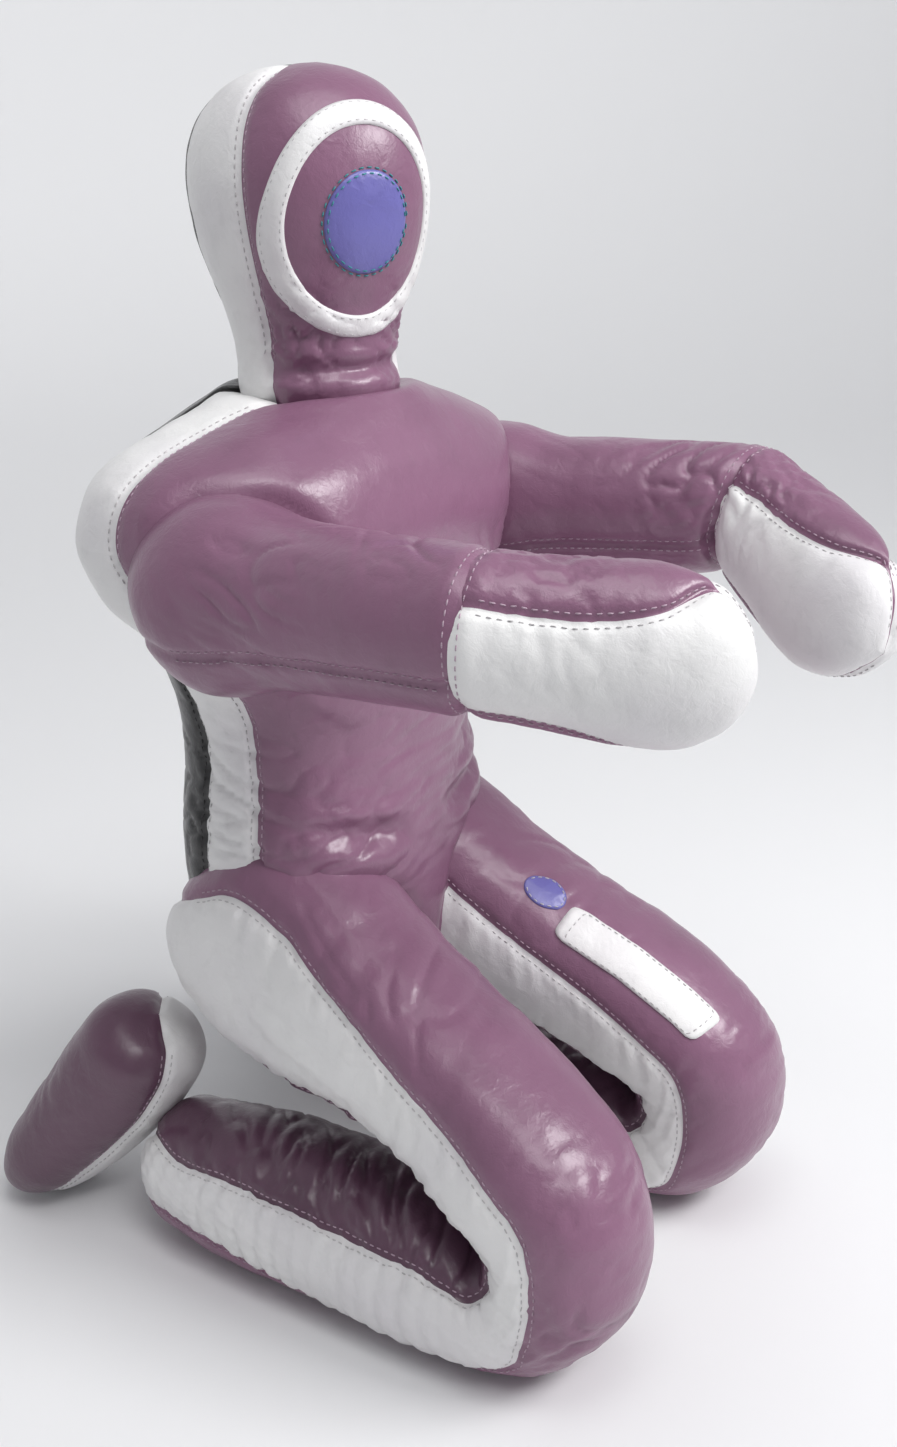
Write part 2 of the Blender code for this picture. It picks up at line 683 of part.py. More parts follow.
def build_label():
    """A blank patch and a plain disc on top of the left thigh."""
    rings = []
    for i in range(6):
        share = PATCH_SHARES[0] + (PATCH_SHARES[1] - PATCH_SHARES[0]) * i / 5
        span = PATCH_DEGREES[1] - PATCH_DEGREES[0]
        rings.append([thigh_point(share, PATCH_DEGREES[0] + span * k / 4, PATCH_LIFT) for k in range(5)])
    sewn_on("thigh_label_patch", "white", rings, False)
    length = (Vector(THIGH[-1][:3]) - Vector(THIGH[0][:3])).length
    rings = []
    for radius in (DISC_RADIUS, DISC_RADIUS * 0.4):
        ring = []
        for i in range(16):
            angle = 2 * math.pi * i / 16
            share = DISC_AT[0] + radius * math.cos(angle) / length
            degrees = DISC_AT[1] + math.degrees(radius * math.sin(angle) / THIGH[1][3])
            ring.append(thigh_point(share, degrees, PATCH_LIFT))
        rings.append(ring)
    sewn_on("thigh_label_disc", "blue", rings, True)


def set_origins():
    """Puts the origin of every moving piece on the axis of its joint."""
    for obj in bpy.data.collections["GrapplingDummy"].objects:
        pivot = PIVOTS.get(obj.name.split("_")[0])
        if pivot is None:
            continue
        left = obj.name.endswith("_L") or obj.name.startswith("thigh_label")
        place = Vector((-pivot.x if left else pivot.x, pivot.y, pivot.z)) + SHIFT
        obj.data.transform(Matrix.Translation(-place))
        obj.location = place


def main():
    clear_scene()
    sockets = [cutter("neck", 1.0, ball_points(NECK_PIVOT, NECK_BALL, 2.0))]
    arm = arm_sections(SHOULDER, ELBOW, UPPER_ARM)[:3]
    leg = path_sections(THIGH, Vector((0, -0.7, 0.7)))[:3]
    shoulder = ball_points(SHOULDER, SHOULDER_BALL, 2.0) + sweep_points(SHOULDER, arm, SHOULDER_TURNS)
    hip = ball_points(HIP, HIP_BALL, HIP_SQUARE) + sweep_points(HIP, leg, HIP_TURNS)
    for label, side in SIDES.items():
        sockets.append(cutter("shoulder_" + label, side, shoulder))
        sockets.append(cutter("hip_" + label, side, hip))
    build_torso(sockets)
    build_zip()
    turn_head(build_head() + build_face())
    for label, side in SIDES.items():
        build_arm(label, side)
        build_forearm(label, side)
        build_thigh(label, side)
        build_shin(label, side)
        build_foot(label, side)
    build_label()
    set_origins()


main()
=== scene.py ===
"""Looks of the kneeling grappling dummy: stuffed vinyl skins with sewn seams, puckers and folds.

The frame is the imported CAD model. +Z is up, the dummy faces -Y, and its right side is -X.
"""

import json
import math

import bmesh
import bpy
import numpy as np
from mathutils import Matrix, Vector, noise
from mathutils.bvhtree import BVHTree

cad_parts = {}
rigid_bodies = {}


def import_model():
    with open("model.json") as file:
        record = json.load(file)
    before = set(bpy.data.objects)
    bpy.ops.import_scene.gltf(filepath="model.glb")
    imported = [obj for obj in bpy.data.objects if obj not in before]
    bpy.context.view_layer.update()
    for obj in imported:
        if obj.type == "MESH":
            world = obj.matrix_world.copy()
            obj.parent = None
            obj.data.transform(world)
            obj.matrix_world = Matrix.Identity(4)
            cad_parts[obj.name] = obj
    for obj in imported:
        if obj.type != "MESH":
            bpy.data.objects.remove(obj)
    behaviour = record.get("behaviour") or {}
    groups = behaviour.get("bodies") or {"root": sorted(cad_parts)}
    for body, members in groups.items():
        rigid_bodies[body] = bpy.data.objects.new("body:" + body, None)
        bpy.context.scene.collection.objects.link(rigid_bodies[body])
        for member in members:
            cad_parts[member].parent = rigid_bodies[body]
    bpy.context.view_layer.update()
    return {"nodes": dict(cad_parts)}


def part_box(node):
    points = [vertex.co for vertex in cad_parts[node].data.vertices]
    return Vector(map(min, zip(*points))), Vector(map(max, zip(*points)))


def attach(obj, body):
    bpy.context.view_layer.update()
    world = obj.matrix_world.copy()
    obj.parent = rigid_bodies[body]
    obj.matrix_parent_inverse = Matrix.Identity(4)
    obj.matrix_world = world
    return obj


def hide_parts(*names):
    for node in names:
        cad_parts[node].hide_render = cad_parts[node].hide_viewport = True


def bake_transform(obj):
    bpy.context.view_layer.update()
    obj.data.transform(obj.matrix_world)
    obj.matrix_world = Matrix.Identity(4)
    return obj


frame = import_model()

SPACING = 0.0040  # distance between neighbouring points of a skin
FLOOR = 0.0046  # height in the tables below at which the shins are flat on the floor
SHIFT = np.array((0.0, -0.0262, -FLOOR))  # from the tables below to the frame of the model
SIDES = {"R": 1.0, "L": -1.0}

# Sewing
GROOVE = (0.0042, 0.0052)  # depth and half width of the groove that a seam pulls in
TUCK = 0.007  # how far a panel's edge turns in at its seam
PILLOW = (0.0030, 0.028)  # how far a panel swells between its seams, and how soon
STITCH = (0.0046, 0.0074, 0.00060)  # length, pitch and radius of one stitch
STITCH_OFF = 0.0058  # distance of the stitch row from the seam
WRINKLE = 1.6  # depth of the wrinkles, against the amounts given below
GATHER = 0.021  # distance between the gathers of the white gussets
TOOTH = (0.0048, 0.0020, 0.0018)  # width, thickness and height of one tooth of the zip
TOOTH_PITCH = 0.0032
LIP = (0.82, 0.004)  # how far the end of an open sleeve turns in, and runs on
POLE = 0.022  # radius under which a closed end is left smooth

# Torso: height, centre y, half width, half depth, squareness of the section
TORSO = (
    (0.258, 0.112, 0.012, 0.016, 2.0),
    (0.264, 0.112, 0.050, 0.052, 2.0),
    (0.282, 0.124, 0.112, 0.096, 2.2),
    (0.325, 0.131, 0.150, 0.110, 2.4),
    (0.385, 0.132, 0.166, 0.111, 2.6),
    (0.440, 0.135, 0.164, 0.110, 2.5),
    (0.500, 0.136, 0.155, 0.107, 2.4),
    (0.560, 0.137, 0.160, 0.109, 2.5),
    (0.618, 0.140, 0.190, 0.115, 2.6),
    (0.668, 0.142, 0.234, 0.129, 2.7),
    (0.720, 0.142, 0.250, 0.136, 2.7),
    (0.765, 0.141, 0.236, 0.126, 2.5),
    (0.798, 0.139, 0.176, 0.104, 2.3),
    (0.815, 0.137, 0.126, 0.091, 2.1),
    (0.824, 0.136, 0.098, 0.080, 2.0),
    (0.821, 0.136, 0.072, 0.066, 2.0),
)
TORSO_FRONT_SEAM = ((0.0, 168.0), (0.45, 168.0), (0.65, 184.0), (0.85, 184.0), (1.0, 166.0))
TORSO_BACK_SEAM = ((0.0, 192.0), (0.45, 192.0), (0.65, 222.0), (0.85, 230.0), (1.0, 232.0))

# Head and neck, in the same five numbers
HEAD = (
    (0.786, 0.135, 0.040, 0.042, 2.0),
    (0.800, 0.135, 0.062, 0.064, 2.0),
    (0.826, 0.135, 0.073, 0.075, 2.0),
    (0.848, 0.136, 0.073, 0.075, 2.0),
    (0.866, 0.137, 0.074, 0.077, 2.0),
    (0.890, 0.139, 0.078, 0.083, 2.1),
    (0.924, 0.142, 0.088, 0.095, 2.2),
    (0.966, 0.145, 0.097, 0.107, 2.2),
    (1.008, 0.146, 0.099, 0.111, 2.2),
    (1.046, 0.146, 0.090, 0.103, 2.1),
    (1.072, 0.145, 0.071, 0.082, 2.0),
    (1.087, 0.144, 0.045, 0.053, 2.0),
    (1.0935, 0.143, 0.016, 0.019, 2.0),
    (1.094, 0.143, 0.0006, 0.0006, 2.0),
)
HEAD_GUSSET = (153.0, 204.0)
HEAD_TURN = -25.0
NECK_PIVOT = np.array((0.0, 0.135, 0.840))
FACE_CENTRE_Z = 0.968
FACE_RING = (0.080, 0.094, 0.0145, 0.0185)
FACE_DISC = (0.038, 0.041)

# Right arm (the left one mirrors it); a station is share of the way, half width, half height
SHOULDER = np.array((-0.206, 0.082, 0.686))
SHOULDER_BALL = (0.072, 0.079)
ELBOW = np.array((-0.240, -0.182, 0.703))
UPPER_ARM = ((0.0, 0.072, 0.080), (0.12, 0.070, 0.078), (0.28, 0.065, 0.067), (0.5, 0.061, 0.064),
             (0.87, 0.058, 0.060))
ARM_SEAM = 206.0
HAND_END = np.array((-0.142, -0.354, 0.672))
LEFT_HAND_DROP = 0.060
FOREARM = ((0.2, 0.054, 0.062), (0.42, 0.052, 0.067), (0.62, 0.050, 0.069), (0.80, 0.044, 0.062),
           (0.92, 0.032, 0.044), (0.985, 0.015, 0.020), (1.0, 0.0006, 0.0006))

# Right leg (the left one mirrors it). Each row: x, front point (y, z), back point (y, z), half width,
# squareness, angle of the front seam and of the back seam of the outer gusset
LEG = (
    (-0.100, (0.2180, 0.3480), (0.2183, 0.3470), 0.0005, 2.0, 154, 238),
    (-0.100, (0.1905, 0.3940), (0.2170, 0.2935), 0.072, 2.1, 154, 238),
    (-0.100, (0.152, 0.421), (0.198, 0.252), 0.087, 2.5, 152, 238),
    (-0.101, (0.115, 0.436), (0.169, 0.222), 0.090, 2.6, 148, 237),
    (-0.103, (0.0520, 0.4140), (0.1050, 0.1930), 0.090, 2.5, 147, 231),
    (-0.111, (-0.0050, 0.3740), (0.0400, 0.1900), 0.087, 2.4, 153, 227),
    (-0.122, (-0.0780, 0.3330), (-0.0280, 0.1820), 0.086, 2.3, 160, 223),
    (-0.132, (-0.1560, 0.2930), (-0.0830, 0.1620), 0.085, 2.3, 166, 224),
    (-0.139, (-0.2160, 0.2540), (-0.1110, 0.1460), 0.084, 2.3, 169, 227),
    (-0.143, (-0.2580, 0.2180), (-0.1290, 0.1390), 0.082, 2.2, 171, 228),
    (-0.146, (-0.2770, 0.1820), (-0.1370, 0.1310), 0.081, 2.1, 174, 225),
    (-0.148, (-0.2820, 0.1420), (-0.1400, 0.1260), 0.080, 2.1, 176, 222),
    (-0.149, (-0.2760, 0.0980), (-0.1410, 0.1200), 0.080, 2.1, 174, 218),
    (-0.149, (-0.2530, 0.0570), (-0.1400, 0.1150), 0.081, 2.1, 166, 219),
    (-0.150, (-0.2180, 0.0250), (-0.1360, 0.1130), 0.082, 2.2, 151, 217),
    (-0.151, (-0.1700, 0.0090), (-0.1280, 0.1220), 0.083, 2.3, 143, 216),
    (-0.152, (-0.1050, 0.0060), (-0.0950, 0.1350), 0.083, 2.4, 135, 214),
    (-0.154, (-0.0450, 0.0060), (-0.0450, 0.1410), 0.081, 2.4, 133, 213),
    (-0.157, (0.0350, 0.0060), (0.0350, 0.1450), 0.078, 2.4, 146, 214),
    (-0.160, (0.1150, 0.0060), (0.1150, 0.1490), 0.074, 2.3, 158, 214),
    (-0.163, (0.1850, 0.0070), (0.1850, 0.1450), 0.066, 2.0, 160, 216),
    (-0.163, (0.2150, 0.0120), (0.2140, 0.1390), 0.060, 2.0, 160, 226),
    (-0.163, (0.2360, 0.0260), (0.2340, 0.1230), 0.046, 2.0, 160, 234),
    (-0.163, (0.2490, 0.0500), (0.2480, 0.0980), 0.026, 2.0, 160, 238),
    (-0.163, (0.2530, 0.0735), (0.2530, 0.0745), 0.0005, 2.0, 160, 238),
)
KNEE_ROWS = (5.4, 18.0)  # the rows of LEG round the bend of the knee, which make knee pieces of their own
FOOT = (
    (-0.164, 0.2350, 0.2320, 0.0005, 0.0005, 2.0),
    (-0.164, 0.2365, 0.2295, 0.022, 0.022, 2.0),
    (-0.164, 0.2395, 0.2235, 0.040, 0.040, 2.1),
    (-0.165, 0.247, 0.208, 0.056, 0.054, 2.2),
    (-0.170, 0.269, 0.172, 0.062, 0.060, 2.3),
    (-0.177, 0.300, 0.129, 0.064, 0.058, 2.3),
    (-0.187, 0.337, 0.084, 0.064, 0.052, 2.3),
    (-0.196, 0.370, 0.046, 0.060, 0.042, 2.2),
    (-0.202, 0.389, 0.024, 0.044, 0.026, 2.1),
    (-0.204, 0.396, 0.0160, 0.020, 0.013, 2.0),
    (-0.204, 0.398, 0.0140, 0.0006, 0.0005, 2.0),
)

# Label on the left thigh: rows of LEG, degrees round it
LABEL_ROWS = (6.1, 8.5)
LABEL_DEGREES = (42.0, 72.0)
DISC_AT = (5.75, 66.0)
DISC_RADIUS = 0.017

STAGE = (5.0, 12.0, 14.0)  # radius of the flat floor, radius of the wall, height of the wall
CAMERA_PLACE = Vector((-1.161, -0.786, 1.020))
CAMERA_LOOK = Vector((0.788, 0.516, -0.338))
CAMERA_ROLL = -0.73
CAMERA_LENS = 39.9


# ---------------------------------------------------------------- materials


def principled(name):
    made = bpy.data.materials.new(name)
    made.use_nodes = True
    shader = made.node_tree.nodes["Principled BSDF"]
    return made, made.node_tree, shader


def add_node(tree, kind, **values):
    found = tree.nodes.new(kind)
    for key, value in values.items():
        if key in found.inputs:
            found.inputs[key].default_value = value
        else:
            setattr(found, key, value)
    return found


def object_coordinates(tree):
    return add_node(tree, "ShaderNodeTexCoord").outputs["Object"]


def noise_field(tree, where, scale, detail, roughness=0.5, distortion=0.0):
    field = add_node(tree, "ShaderNodeTexNoise", Scale=scale, Detail=detail, Roughness=roughness,
                     Distortion=distortion)
    tree.links.new(where, field.inputs["Vector"])
    return field.outputs["Fac"]


def ramp(tree, value, stops):
    """A colour ramp from (place, colour) pairs."""
    made = add_node(tree, "ShaderNodeValToRGB")
    points = made.color_ramp.elements
    while len(points) < len(stops):
        points.new(0.5)
    for point, (place, colour) in zip(points, stops):
        point.position = place
        point.color = (*colour, 1.0)
    tree.links.new(value, made.inputs["Fac"])
    return made.outputs["Color"]


def scaled(colour, factor):
    return tuple(min(1.0, c * factor) for c in colour)


def mapped(tree, value, low, high):
    """A 0 to 1 field turned into a range of numbers."""
    made = add_node(tree, "ShaderNodeMapRange")
    made.inputs["To Min"].default_value = low
    made.inputs["To Max"].default_value = high
    tree.links.new(value, made.inputs["Value"])
    return made.outputs["Result"]


def add_bump(tree, height, distance, strength, normal=None):
    made = add_node(tree, "ShaderNodeBump", Distance=distance, Strength=strength)
    tree.links.new(height, made.inputs["Height"])
    if normal is not None:
        tree.links.new(normal, made.inputs["Normal"])
    return made.outputs["Normal"]


def vinyl(name, colour, shade, rough=(0.27, 0.40), coat=0.26, grain=1.0):
    """Coated fabric: pebbled grain, fine creases, a soft gloss and slight soiling."""
    made, tree, shader = principled(name)
    where = object_coordinates(tree)
    broad = noise_field(tree, where, 5.0, 3.0)
    scuffs = noise_field(tree, where, 38.0, 6.0, 0.62, 0.4)
    tint = ramp(tree, broad, ((0.30, shade), (0.52, colour), (0.75, scaled(colour, 1.07))))
    mark = ramp(tree, scuffs, ((0.30, scaled((1, 1, 1), 0.90)), (0.48, (1, 1, 1)), (0.70, (1, 1, 1))))
    mix = add_node(tree, "ShaderNodeMix", data_type="RGBA", blend_type="MULTIPLY")
    mix.inputs["Factor"].default_value = 0.55
    tree.links.new(tint, mix.inputs["A"])
    tree.links.new(mark, mix.inputs["B"])
    tree.links.new(mix.outputs["Result"], shader.inputs["Base Color"])
    tree.links.new(mapped(tree, scuffs, *rough), shader.inputs["Roughness"])
    pebbles = add_node(tree, "ShaderNodeTexVoronoi", Scale=820.0, feature="SMOOTH_F1")
    tree.links.new(where, pebbles.inputs["Vector"])
    creases = noise_field(tree, where, 95.0, 5.0, 0.55, 1.2)
    dents = noise_field(tree, where, 26.0, 3.0, 0.5, 0.5)
    normal = add_bump(tree, dents, 0.0045, 0.36)
    normal = add_bump(tree, creases, 0.0013, 0.42, normal)
    normal = add_bump(tree, pebbles.outputs["Distance"], 0.00025, 0.35 * grain, normal)
    tree.links.new(normal, shader.inputs["Normal"])
    shader.inputs["Coat Weight"].default_value = coat
    shader.inputs["Coat Roughness"].default_value = 0.26
    shader.inputs["Specular IOR Level"].default_value = 0.5
    return made


def thread(name, colour):
    """Twisted sewing thread."""
    made, tree, shader = principled(name)
    where = object_coordinates(tree)
    twist = add_node(tree, "ShaderNodeTexWave", Scale=420.0, Distortion=1.5, bands_direction="DIAGONAL")
    tree.links.new(where, twist.inputs["Vector"])
    tint = ramp(tree, twist.outputs["Fac"], ((0.1, scaled(colour, 0.72)), (0.7, colour)))
    tree.links.new(tint, shader.inputs["Base Color"])
    tree.links.new(mapped(tree, twist.outputs["Fac"], 0.55, 0.8), shader.inputs["Roughness"])
    tree.links.new(add_bump(tree, twist.outputs["Fac"], 0.0002, 0.6), shader.inputs["Normal"])
    return made


def woven(name, colour):
    """The woven tape of the zip."""
    made, tree, shader = principled(name)
    where = object_coordinates(tree)
    weft = add_node(tree, "ShaderNodeTexWave", Scale=300.0, Distortion=0.6, bands_direction="Z")
    tree.links.new(where, weft.inputs["Vector"])
    dust = noise_field(tree, where, 60.0, 4.0)
    tint = ramp(tree, dust, ((0.3, scaled(colour, 0.7)), (0.7, scaled(colour, 1.3))))
    tree.links.new(tint, shader.inputs["Base Color"])
    tree.links.new(mapped(tree, dust, 0.75, 0.95), shader.inputs["Roughness"])
    tree.links.new(add_bump(tree, weft.outputs["Fac"], 0.0003, 0.7), shader.inputs["Normal"])
    return made


def metal(name, colour):
    """Brushed metal, a little worn."""
    made, tree, shader = principled(name)
    where = object_coordinates(tree)
    wear = noise_field(tree, where, 240.0, 5.0, 0.6)
    tint = ramp(tree, wear, ((0.35, scaled(colour, 0.75)), (0.65, colour)))
    tree.links.new(tint, shader.inputs["Base Color"])
    tree.links.new(mapped(tree, wear, 0.25, 0.45), shader.inputs["Roughness"])
    tree.links.new(add_bump(tree, wear, 0.0001, 0.3), shader.inputs["Normal"])
    shader.inputs["Metallic"].default_value = 1.0
    return made


def make_materials():
    purple = (0.238, 0.112, 0.186)
    return {
        "purple": vinyl("purple_vinyl", purple, scaled(purple, 0.86)),
        # A darker copy of the purple vinyl at half its brightness: painted shade for the backs of the legs
        # and the soles, which face away from the lamps.
        "purple_painted_shade": vinyl("purple_vinyl_painted_shade", scaled(purple, 0.50), scaled(purple, 0.40)),
        "dark": vinyl("dark_vinyl", (0.020, 0.019, 0.020), (0.014, 0.013, 0.014)),
        "white": vinyl("white_vinyl", (0.80, 0.795, 0.79), (0.71, 0.69, 0.71), (0.34, 0.50), 0.10),
        "blue": vinyl("blue_vinyl", (0.150, 0.140, 0.420), (0.125, 0.115, 0.36)),
        "thread_purple": thread("thread_purple", (0.52, 0.38, 0.47)),
        "thread_white": thread("thread_white", (0.62, 0.60, 0.61)),
        "thread_dark": thread("thread_dark", (0.055, 0.052, 0.055)),
        "thread_teal": thread("thread_teal", (0.05, 0.30, 0.33)),
        "tape": woven("zip_cloth", (0.022, 0.021, 0.023)),
        "metal": metal("zip_metal", (0.58, 0.58, 0.60)),
    }


# ---------------------------------------------------------------- tubes and panels


def unit(vector):
    return np.asarray(vector, float) / np.linalg.norm(vector)


def section_points(section, degrees):
    """Points round a section (centre, side, facing, half width, half depth, squareness)."""
    centre, side, facing, half_width, half_depth, squareness = section
    angle = np.radians(np.asarray(degrees, float))
    power = 2.0 / squareness
    across = half_width * np.sign(np.cos(angle)) * np.abs(np.cos(angle)) ** power
    out = half_depth * np.sign(np.sin(angle)) * np.abs(np.sin(angle)) ** power
    return centre + across[:, None] * side + out[:, None] * facing


def station(centre, along, across, front, size, squareness=2.0):
    along = unit(along)
    side = unit(np.asarray(across, float) - along * np.dot(across, along))
    facing = np.cross(side, along)
    if np.dot(facing, front) < 0:
        facing = -facing
    return np.asarray(centre, float), side, facing, size[0], size[1], squareness


def upright(rows):
    made = []
    for z, y, half_width, half_depth, squareness in rows:
        size = (half_width, half_depth)
        made.append(station((0, y, z), (0, 0, 1), (1, 0, 0), (0, -1, 0), size, squareness))
    return made


def leg_sections():
    made = []
    for x, front, back, half_width, squareness, _, _ in LEG:
        a, b = np.array((x, *front)), np.array((x, *back))
        facing = unit(a - b)
        made.append(((a + b) / 2, np.array((1.0, 0, 0)), facing, half_width,
                     np.linalg.norm(a - b) / 2, squareness))
    return made


def path_sections(rows, front):
    points = np.array([row[:3] for row in rows])
    along = np.gradient(points, axis=0)
    return [station(p, a, (1, 0, 0), front, row[3:5], row[5]) for p, a, row in zip(points, along, rows)]


def arm_sections(start, end, rows, squareness=2.1):
    return [station(start + (end - start) * share, end - start, (1, 0, 0), (0, 0, 1), (w, h), squareness)
            for share, w, h in rows]


def ball_sections(pivot, along, size, angles, front=(0, 0, 1)):
    """Sections of a ball end, from its hidden pole towards its equator."""
    along = unit(along)
    made = []
    for degrees in angles:
        angle = math.radians(degrees)
        made.append(station(pivot + along * size[1] * math.sin(angle), along, (1, 0, 0), front,
                            (size[0] * math.cos(angle), size[1] * math.cos(angle))))
    return made


def between(table, shares):
    """A seam's angle at each share, from (share, angle) pairs or one angle."""
    if not isinstance(table, tuple):
        return np.full(len(shares), float(table))
    return np.interp(shares, [p[0] for p in table], [p[1] for p in table])


def control_rings(sections, seams, counts):
    """Points round each section, shared out so that every seam keeps its own column."""
    shares = np.linspace(0, 1, len(sections))
    angles = [between(seam, shares) for seam in seams]
    angles.append(angles[0] + 360.0)
    rings = []
    for i, section in enumerate(sections):
        ring = []
        for k, count in enumerate(counts):
            fine = section_points(section, np.linspace(angles[k][i], angles[k + 1][i], 60))
            length = np.concatenate([[0], np.cumsum(np.linalg.norm(np.diff(fine, axis=0), axis=1))])
            wanted = np.linspace(0, length[-1], count + 1)[:-1]
            ring.append(np.stack([np.interp(wanted, length, fine[:, c]) for c in range(3)], axis=1))
        rings.append(np.concatenate(ring))
    return np.array(rings)


def smooth_rows(rings, spacing):
    """Rings resampled along the tube with a smooth curve; returns them and their place in the row list."""
    gaps = np.linalg.norm(np.diff(rings, axis=0), axis=2).mean(axis=1)
    knots = np.concatenate([[0], np.cumsum(gaps)])
    slopes = np.gradient(rings, knots, axis=0)
    where = np.linspace(0, knots[-1], max(4, round(knots[-1] / spacing)) + 1)
    i = np.clip(np.searchsorted(knots, where, side="right") - 1, 0, len(knots) - 2)
    h = (knots[i + 1] - knots[i])[:, None, None]
    u = ((where - knots[i]) / (knots[i + 1] - knots[i]))[:, None, None]
    points = ((2 * u**3 - 3 * u**2 + 1) * rings[i] + (u**3 - 2 * u**2 + u) * h * slopes[i]
              + (3 * u**2 - 2 * u**3) * rings[i + 1] + (u**3 - u**2) * h * slopes[i + 1])
    return points, i + u[:, 0, 0]


def grid_normals(points):
    around = np.roll(points, -1, axis=1) - np.roll(points, 1, axis=1)
    along = np.gradient(points, axis=0)
    normals = np.cross(around, along)
    length = np.linalg.norm(normals, axis=2, keepdims=True)
    normals = normals / np.maximum(length, 1e-12)
    outward = points - points.mean(axis=1, keepdims=True)
    if (normals * outward).sum() < 0:
        normals = -normals
    return normals


class Skin:
    """A stuffed tube as a grid of points: rows along it, columns round it, and a column for each seam."""

    def __init__(self, sections, seams, spans, side=1.0, spacing=SPACING):
        middle = sections[len(sections) // 2]
        girth = 2 * math.pi * (middle[3] + middle[4]) / 2
        counts = [max(4, round(girth * span / spacing)) for span in spans]
        self.starts = np.concatenate([[0], np.cumsum(counts)])
        rings = control_rings(sections, seams, counts) + SHIFT
        rings[:, :, 0] *= side
        self.points, self.rows = smooth_rows(rings, spacing)
        self.side = side
        self.base = self.points.copy()
        self.measure()

    def measure(self):
        """Distances on the surface: along each column, and to the seams on either side."""
        p = self.points
        steps = np.linalg.norm(np.diff(p, axis=0), axis=2)
        self.along = np.concatenate([np.zeros((1, p.shape[1])), np.cumsum(steps, axis=0)])
        ring = np.linalg.norm(np.roll(p, -1, axis=1) - p, axis=2)
        walked = np.concatenate([np.zeros((len(p), 1)), np.cumsum(ring, axis=1)], axis=1)
        self.left = np.zeros(p.shape[:2])
        self.right = np.zeros(p.shape[:2])
        self.panel = np.zeros(p.shape[1], int)
        for k in range(len(self.starts) - 1):
            a, b = self.starts[k], self.starts[k + 1]
            self.left[:, a:b] = walked[:, a:b] - walked[:, a:a + 1]
            self.right[:, a:b] = walked[:, b:b + 1] - walked[:, a:b]
            self.panel[a:b] = k
        self.near = np.minimum(self.left, self.right)
        self.radius = np.linalg.norm(p - p.mean(axis=1, keepdims=True), axis=2).mean(axis=1)
        self.calm = np.clip(self.radius / POLE, 0, 1)[:, None]
        self.normals = grid_normals(p)

    def push(self, height):
        """Moves every point along its normal."""
        self.points = self.points + self.normals * height[:, :, None]

    def refresh(self):
        self.normals = grid_normals(self.points)


def field(points, scale, offset=0.0):
    """Smooth noise at each point, about -1 to 1."""
    flat = points.reshape(-1, 3) * scale + offset
    return np.array([noise.noise(p) for p in flat.tolist()]).reshape(points.shape[:-1])


def stretched_field(points, direction, along_scale, across_scale, offset=0.0):
    """Noise that is drawn out along one direction, for creases that run that way."""
    direction = unit(direction)
    along = points @ direction
    rest = points - along[..., None] * direction
    return field(rest * across_scale + along[..., None] * direction * along_scale, 1.0, offset)


def seam_noise(distance, seed, wavelength):
    flat = distance.reshape(-1) / wavelength
    found = np.array([noise.noise((v, seed * 7.31, 0.37)) for v in flat.tolist()])
    return found.reshape(distance.shape)


def sew(skin, gathers, seed):
    """Seam grooves, swelling between them, and the puckers that sewing leaves beside them."""
    depth, width = GROOVE
    height = -0.0015 - depth * np.exp(-(skin.near / width) ** 2)
    height += PILLOW[0] * (1 - np.exp(-(skin.near / PILLOW[1]) ** 2))
    rise = 1 - np.exp(-(skin.near / 0.004) ** 2)
    for k, gather in enumerate(gathers):
        columns = skin.panel == k
        amount, wavelength, reach = gather
        for edge, distance in enumerate((skin.left, skin.right)):
            wave = seam_noise(skin.along[:, columns], seed + 2 * k + edge, wavelength)
            fine = seam_noise(skin.along[:, columns], seed + 40 + 2 * k + edge, wavelength * 0.45)
            fade = np.exp(-distance[:, columns] / reach) * rise[:, columns]
            height[:, columns] += amount * (wave + 0.45 * fine) * fade
    skin.push(height * skin.calm)
    skin.refresh()


def stuff(skin, seed, lumps=0.0026, dents=0.0011):
    """The unevenness of packed filling under the skin."""
    offset = seed * 3.7
    height = lumps * field(skin.base, 9.0, offset) + dents * field(skin.base, 22.0, offset + 5.0)
    skin.push(height)
    skin.refresh()


def crease(skin, line, depth, width, lift=0.35, seed=0.0):
    """A fold that follows a line of points on the skin: a pressed-in channel with raised lips."""
    line = np.array(line, float) + SHIFT
    line[:, 0] *= skin.side
    fine = []
    for a, b in zip(line, line[1:]):
        fine.extend(a + (b - a) * t for t in np.linspace(0, 1, 12, endpoint=False))
    fine.append(line[-1])
    fine = np.array(fine)
    flat = skin.points.reshape(-1, 3)
    wobble = field(flat, 18.0, seed)[:, None] * 0.006
    gaps = np.linalg.norm(flat[:, None, :] + wobble[:, None, :] - fine[None, :, :], axis=2)
    nearest = gaps.argmin(axis=1)
    distance = gaps.min(axis=1)
    ends = np.sin(np.pi * np.clip((nearest + 0.5) / len(fine), 0.02, 0.98)) ** 0.5
    depth = depth * WRINKLE
    height = -depth * np.exp(-(distance / width) ** 2)
    height += depth * lift * np.exp(-((distance - 2.0 * width) / (0.9 * width)) ** 2)
    skin.push((height * ends).reshape(skin.points.shape[:2]))
    skin.refresh()


def wrinkles(skin, direction, where, radius, amount, seed, fine=55.0, coarse=9.0):
    """Soft parallel creases that run along a direction, within a radius of a place on the skin."""
    centre = np.array(where, float) + SHIFT
    centre[0] *= skin.side
    direction = np.array(direction, float)
    direction[0] *= skin.side
    distance = np.linalg.norm(skin.points - centre, axis=2)
    mask = np.exp(-(distance / radius) ** 2)
    ridges = stretched_field(skin.base, direction, coarse, fine, seed)
    sharp = np.clip(1 - np.abs(ridges) * 3.2, 0, 1) ** 1.5
    skin.push(-WRINKLE * amount * sharp * mask)
    skin.refresh()


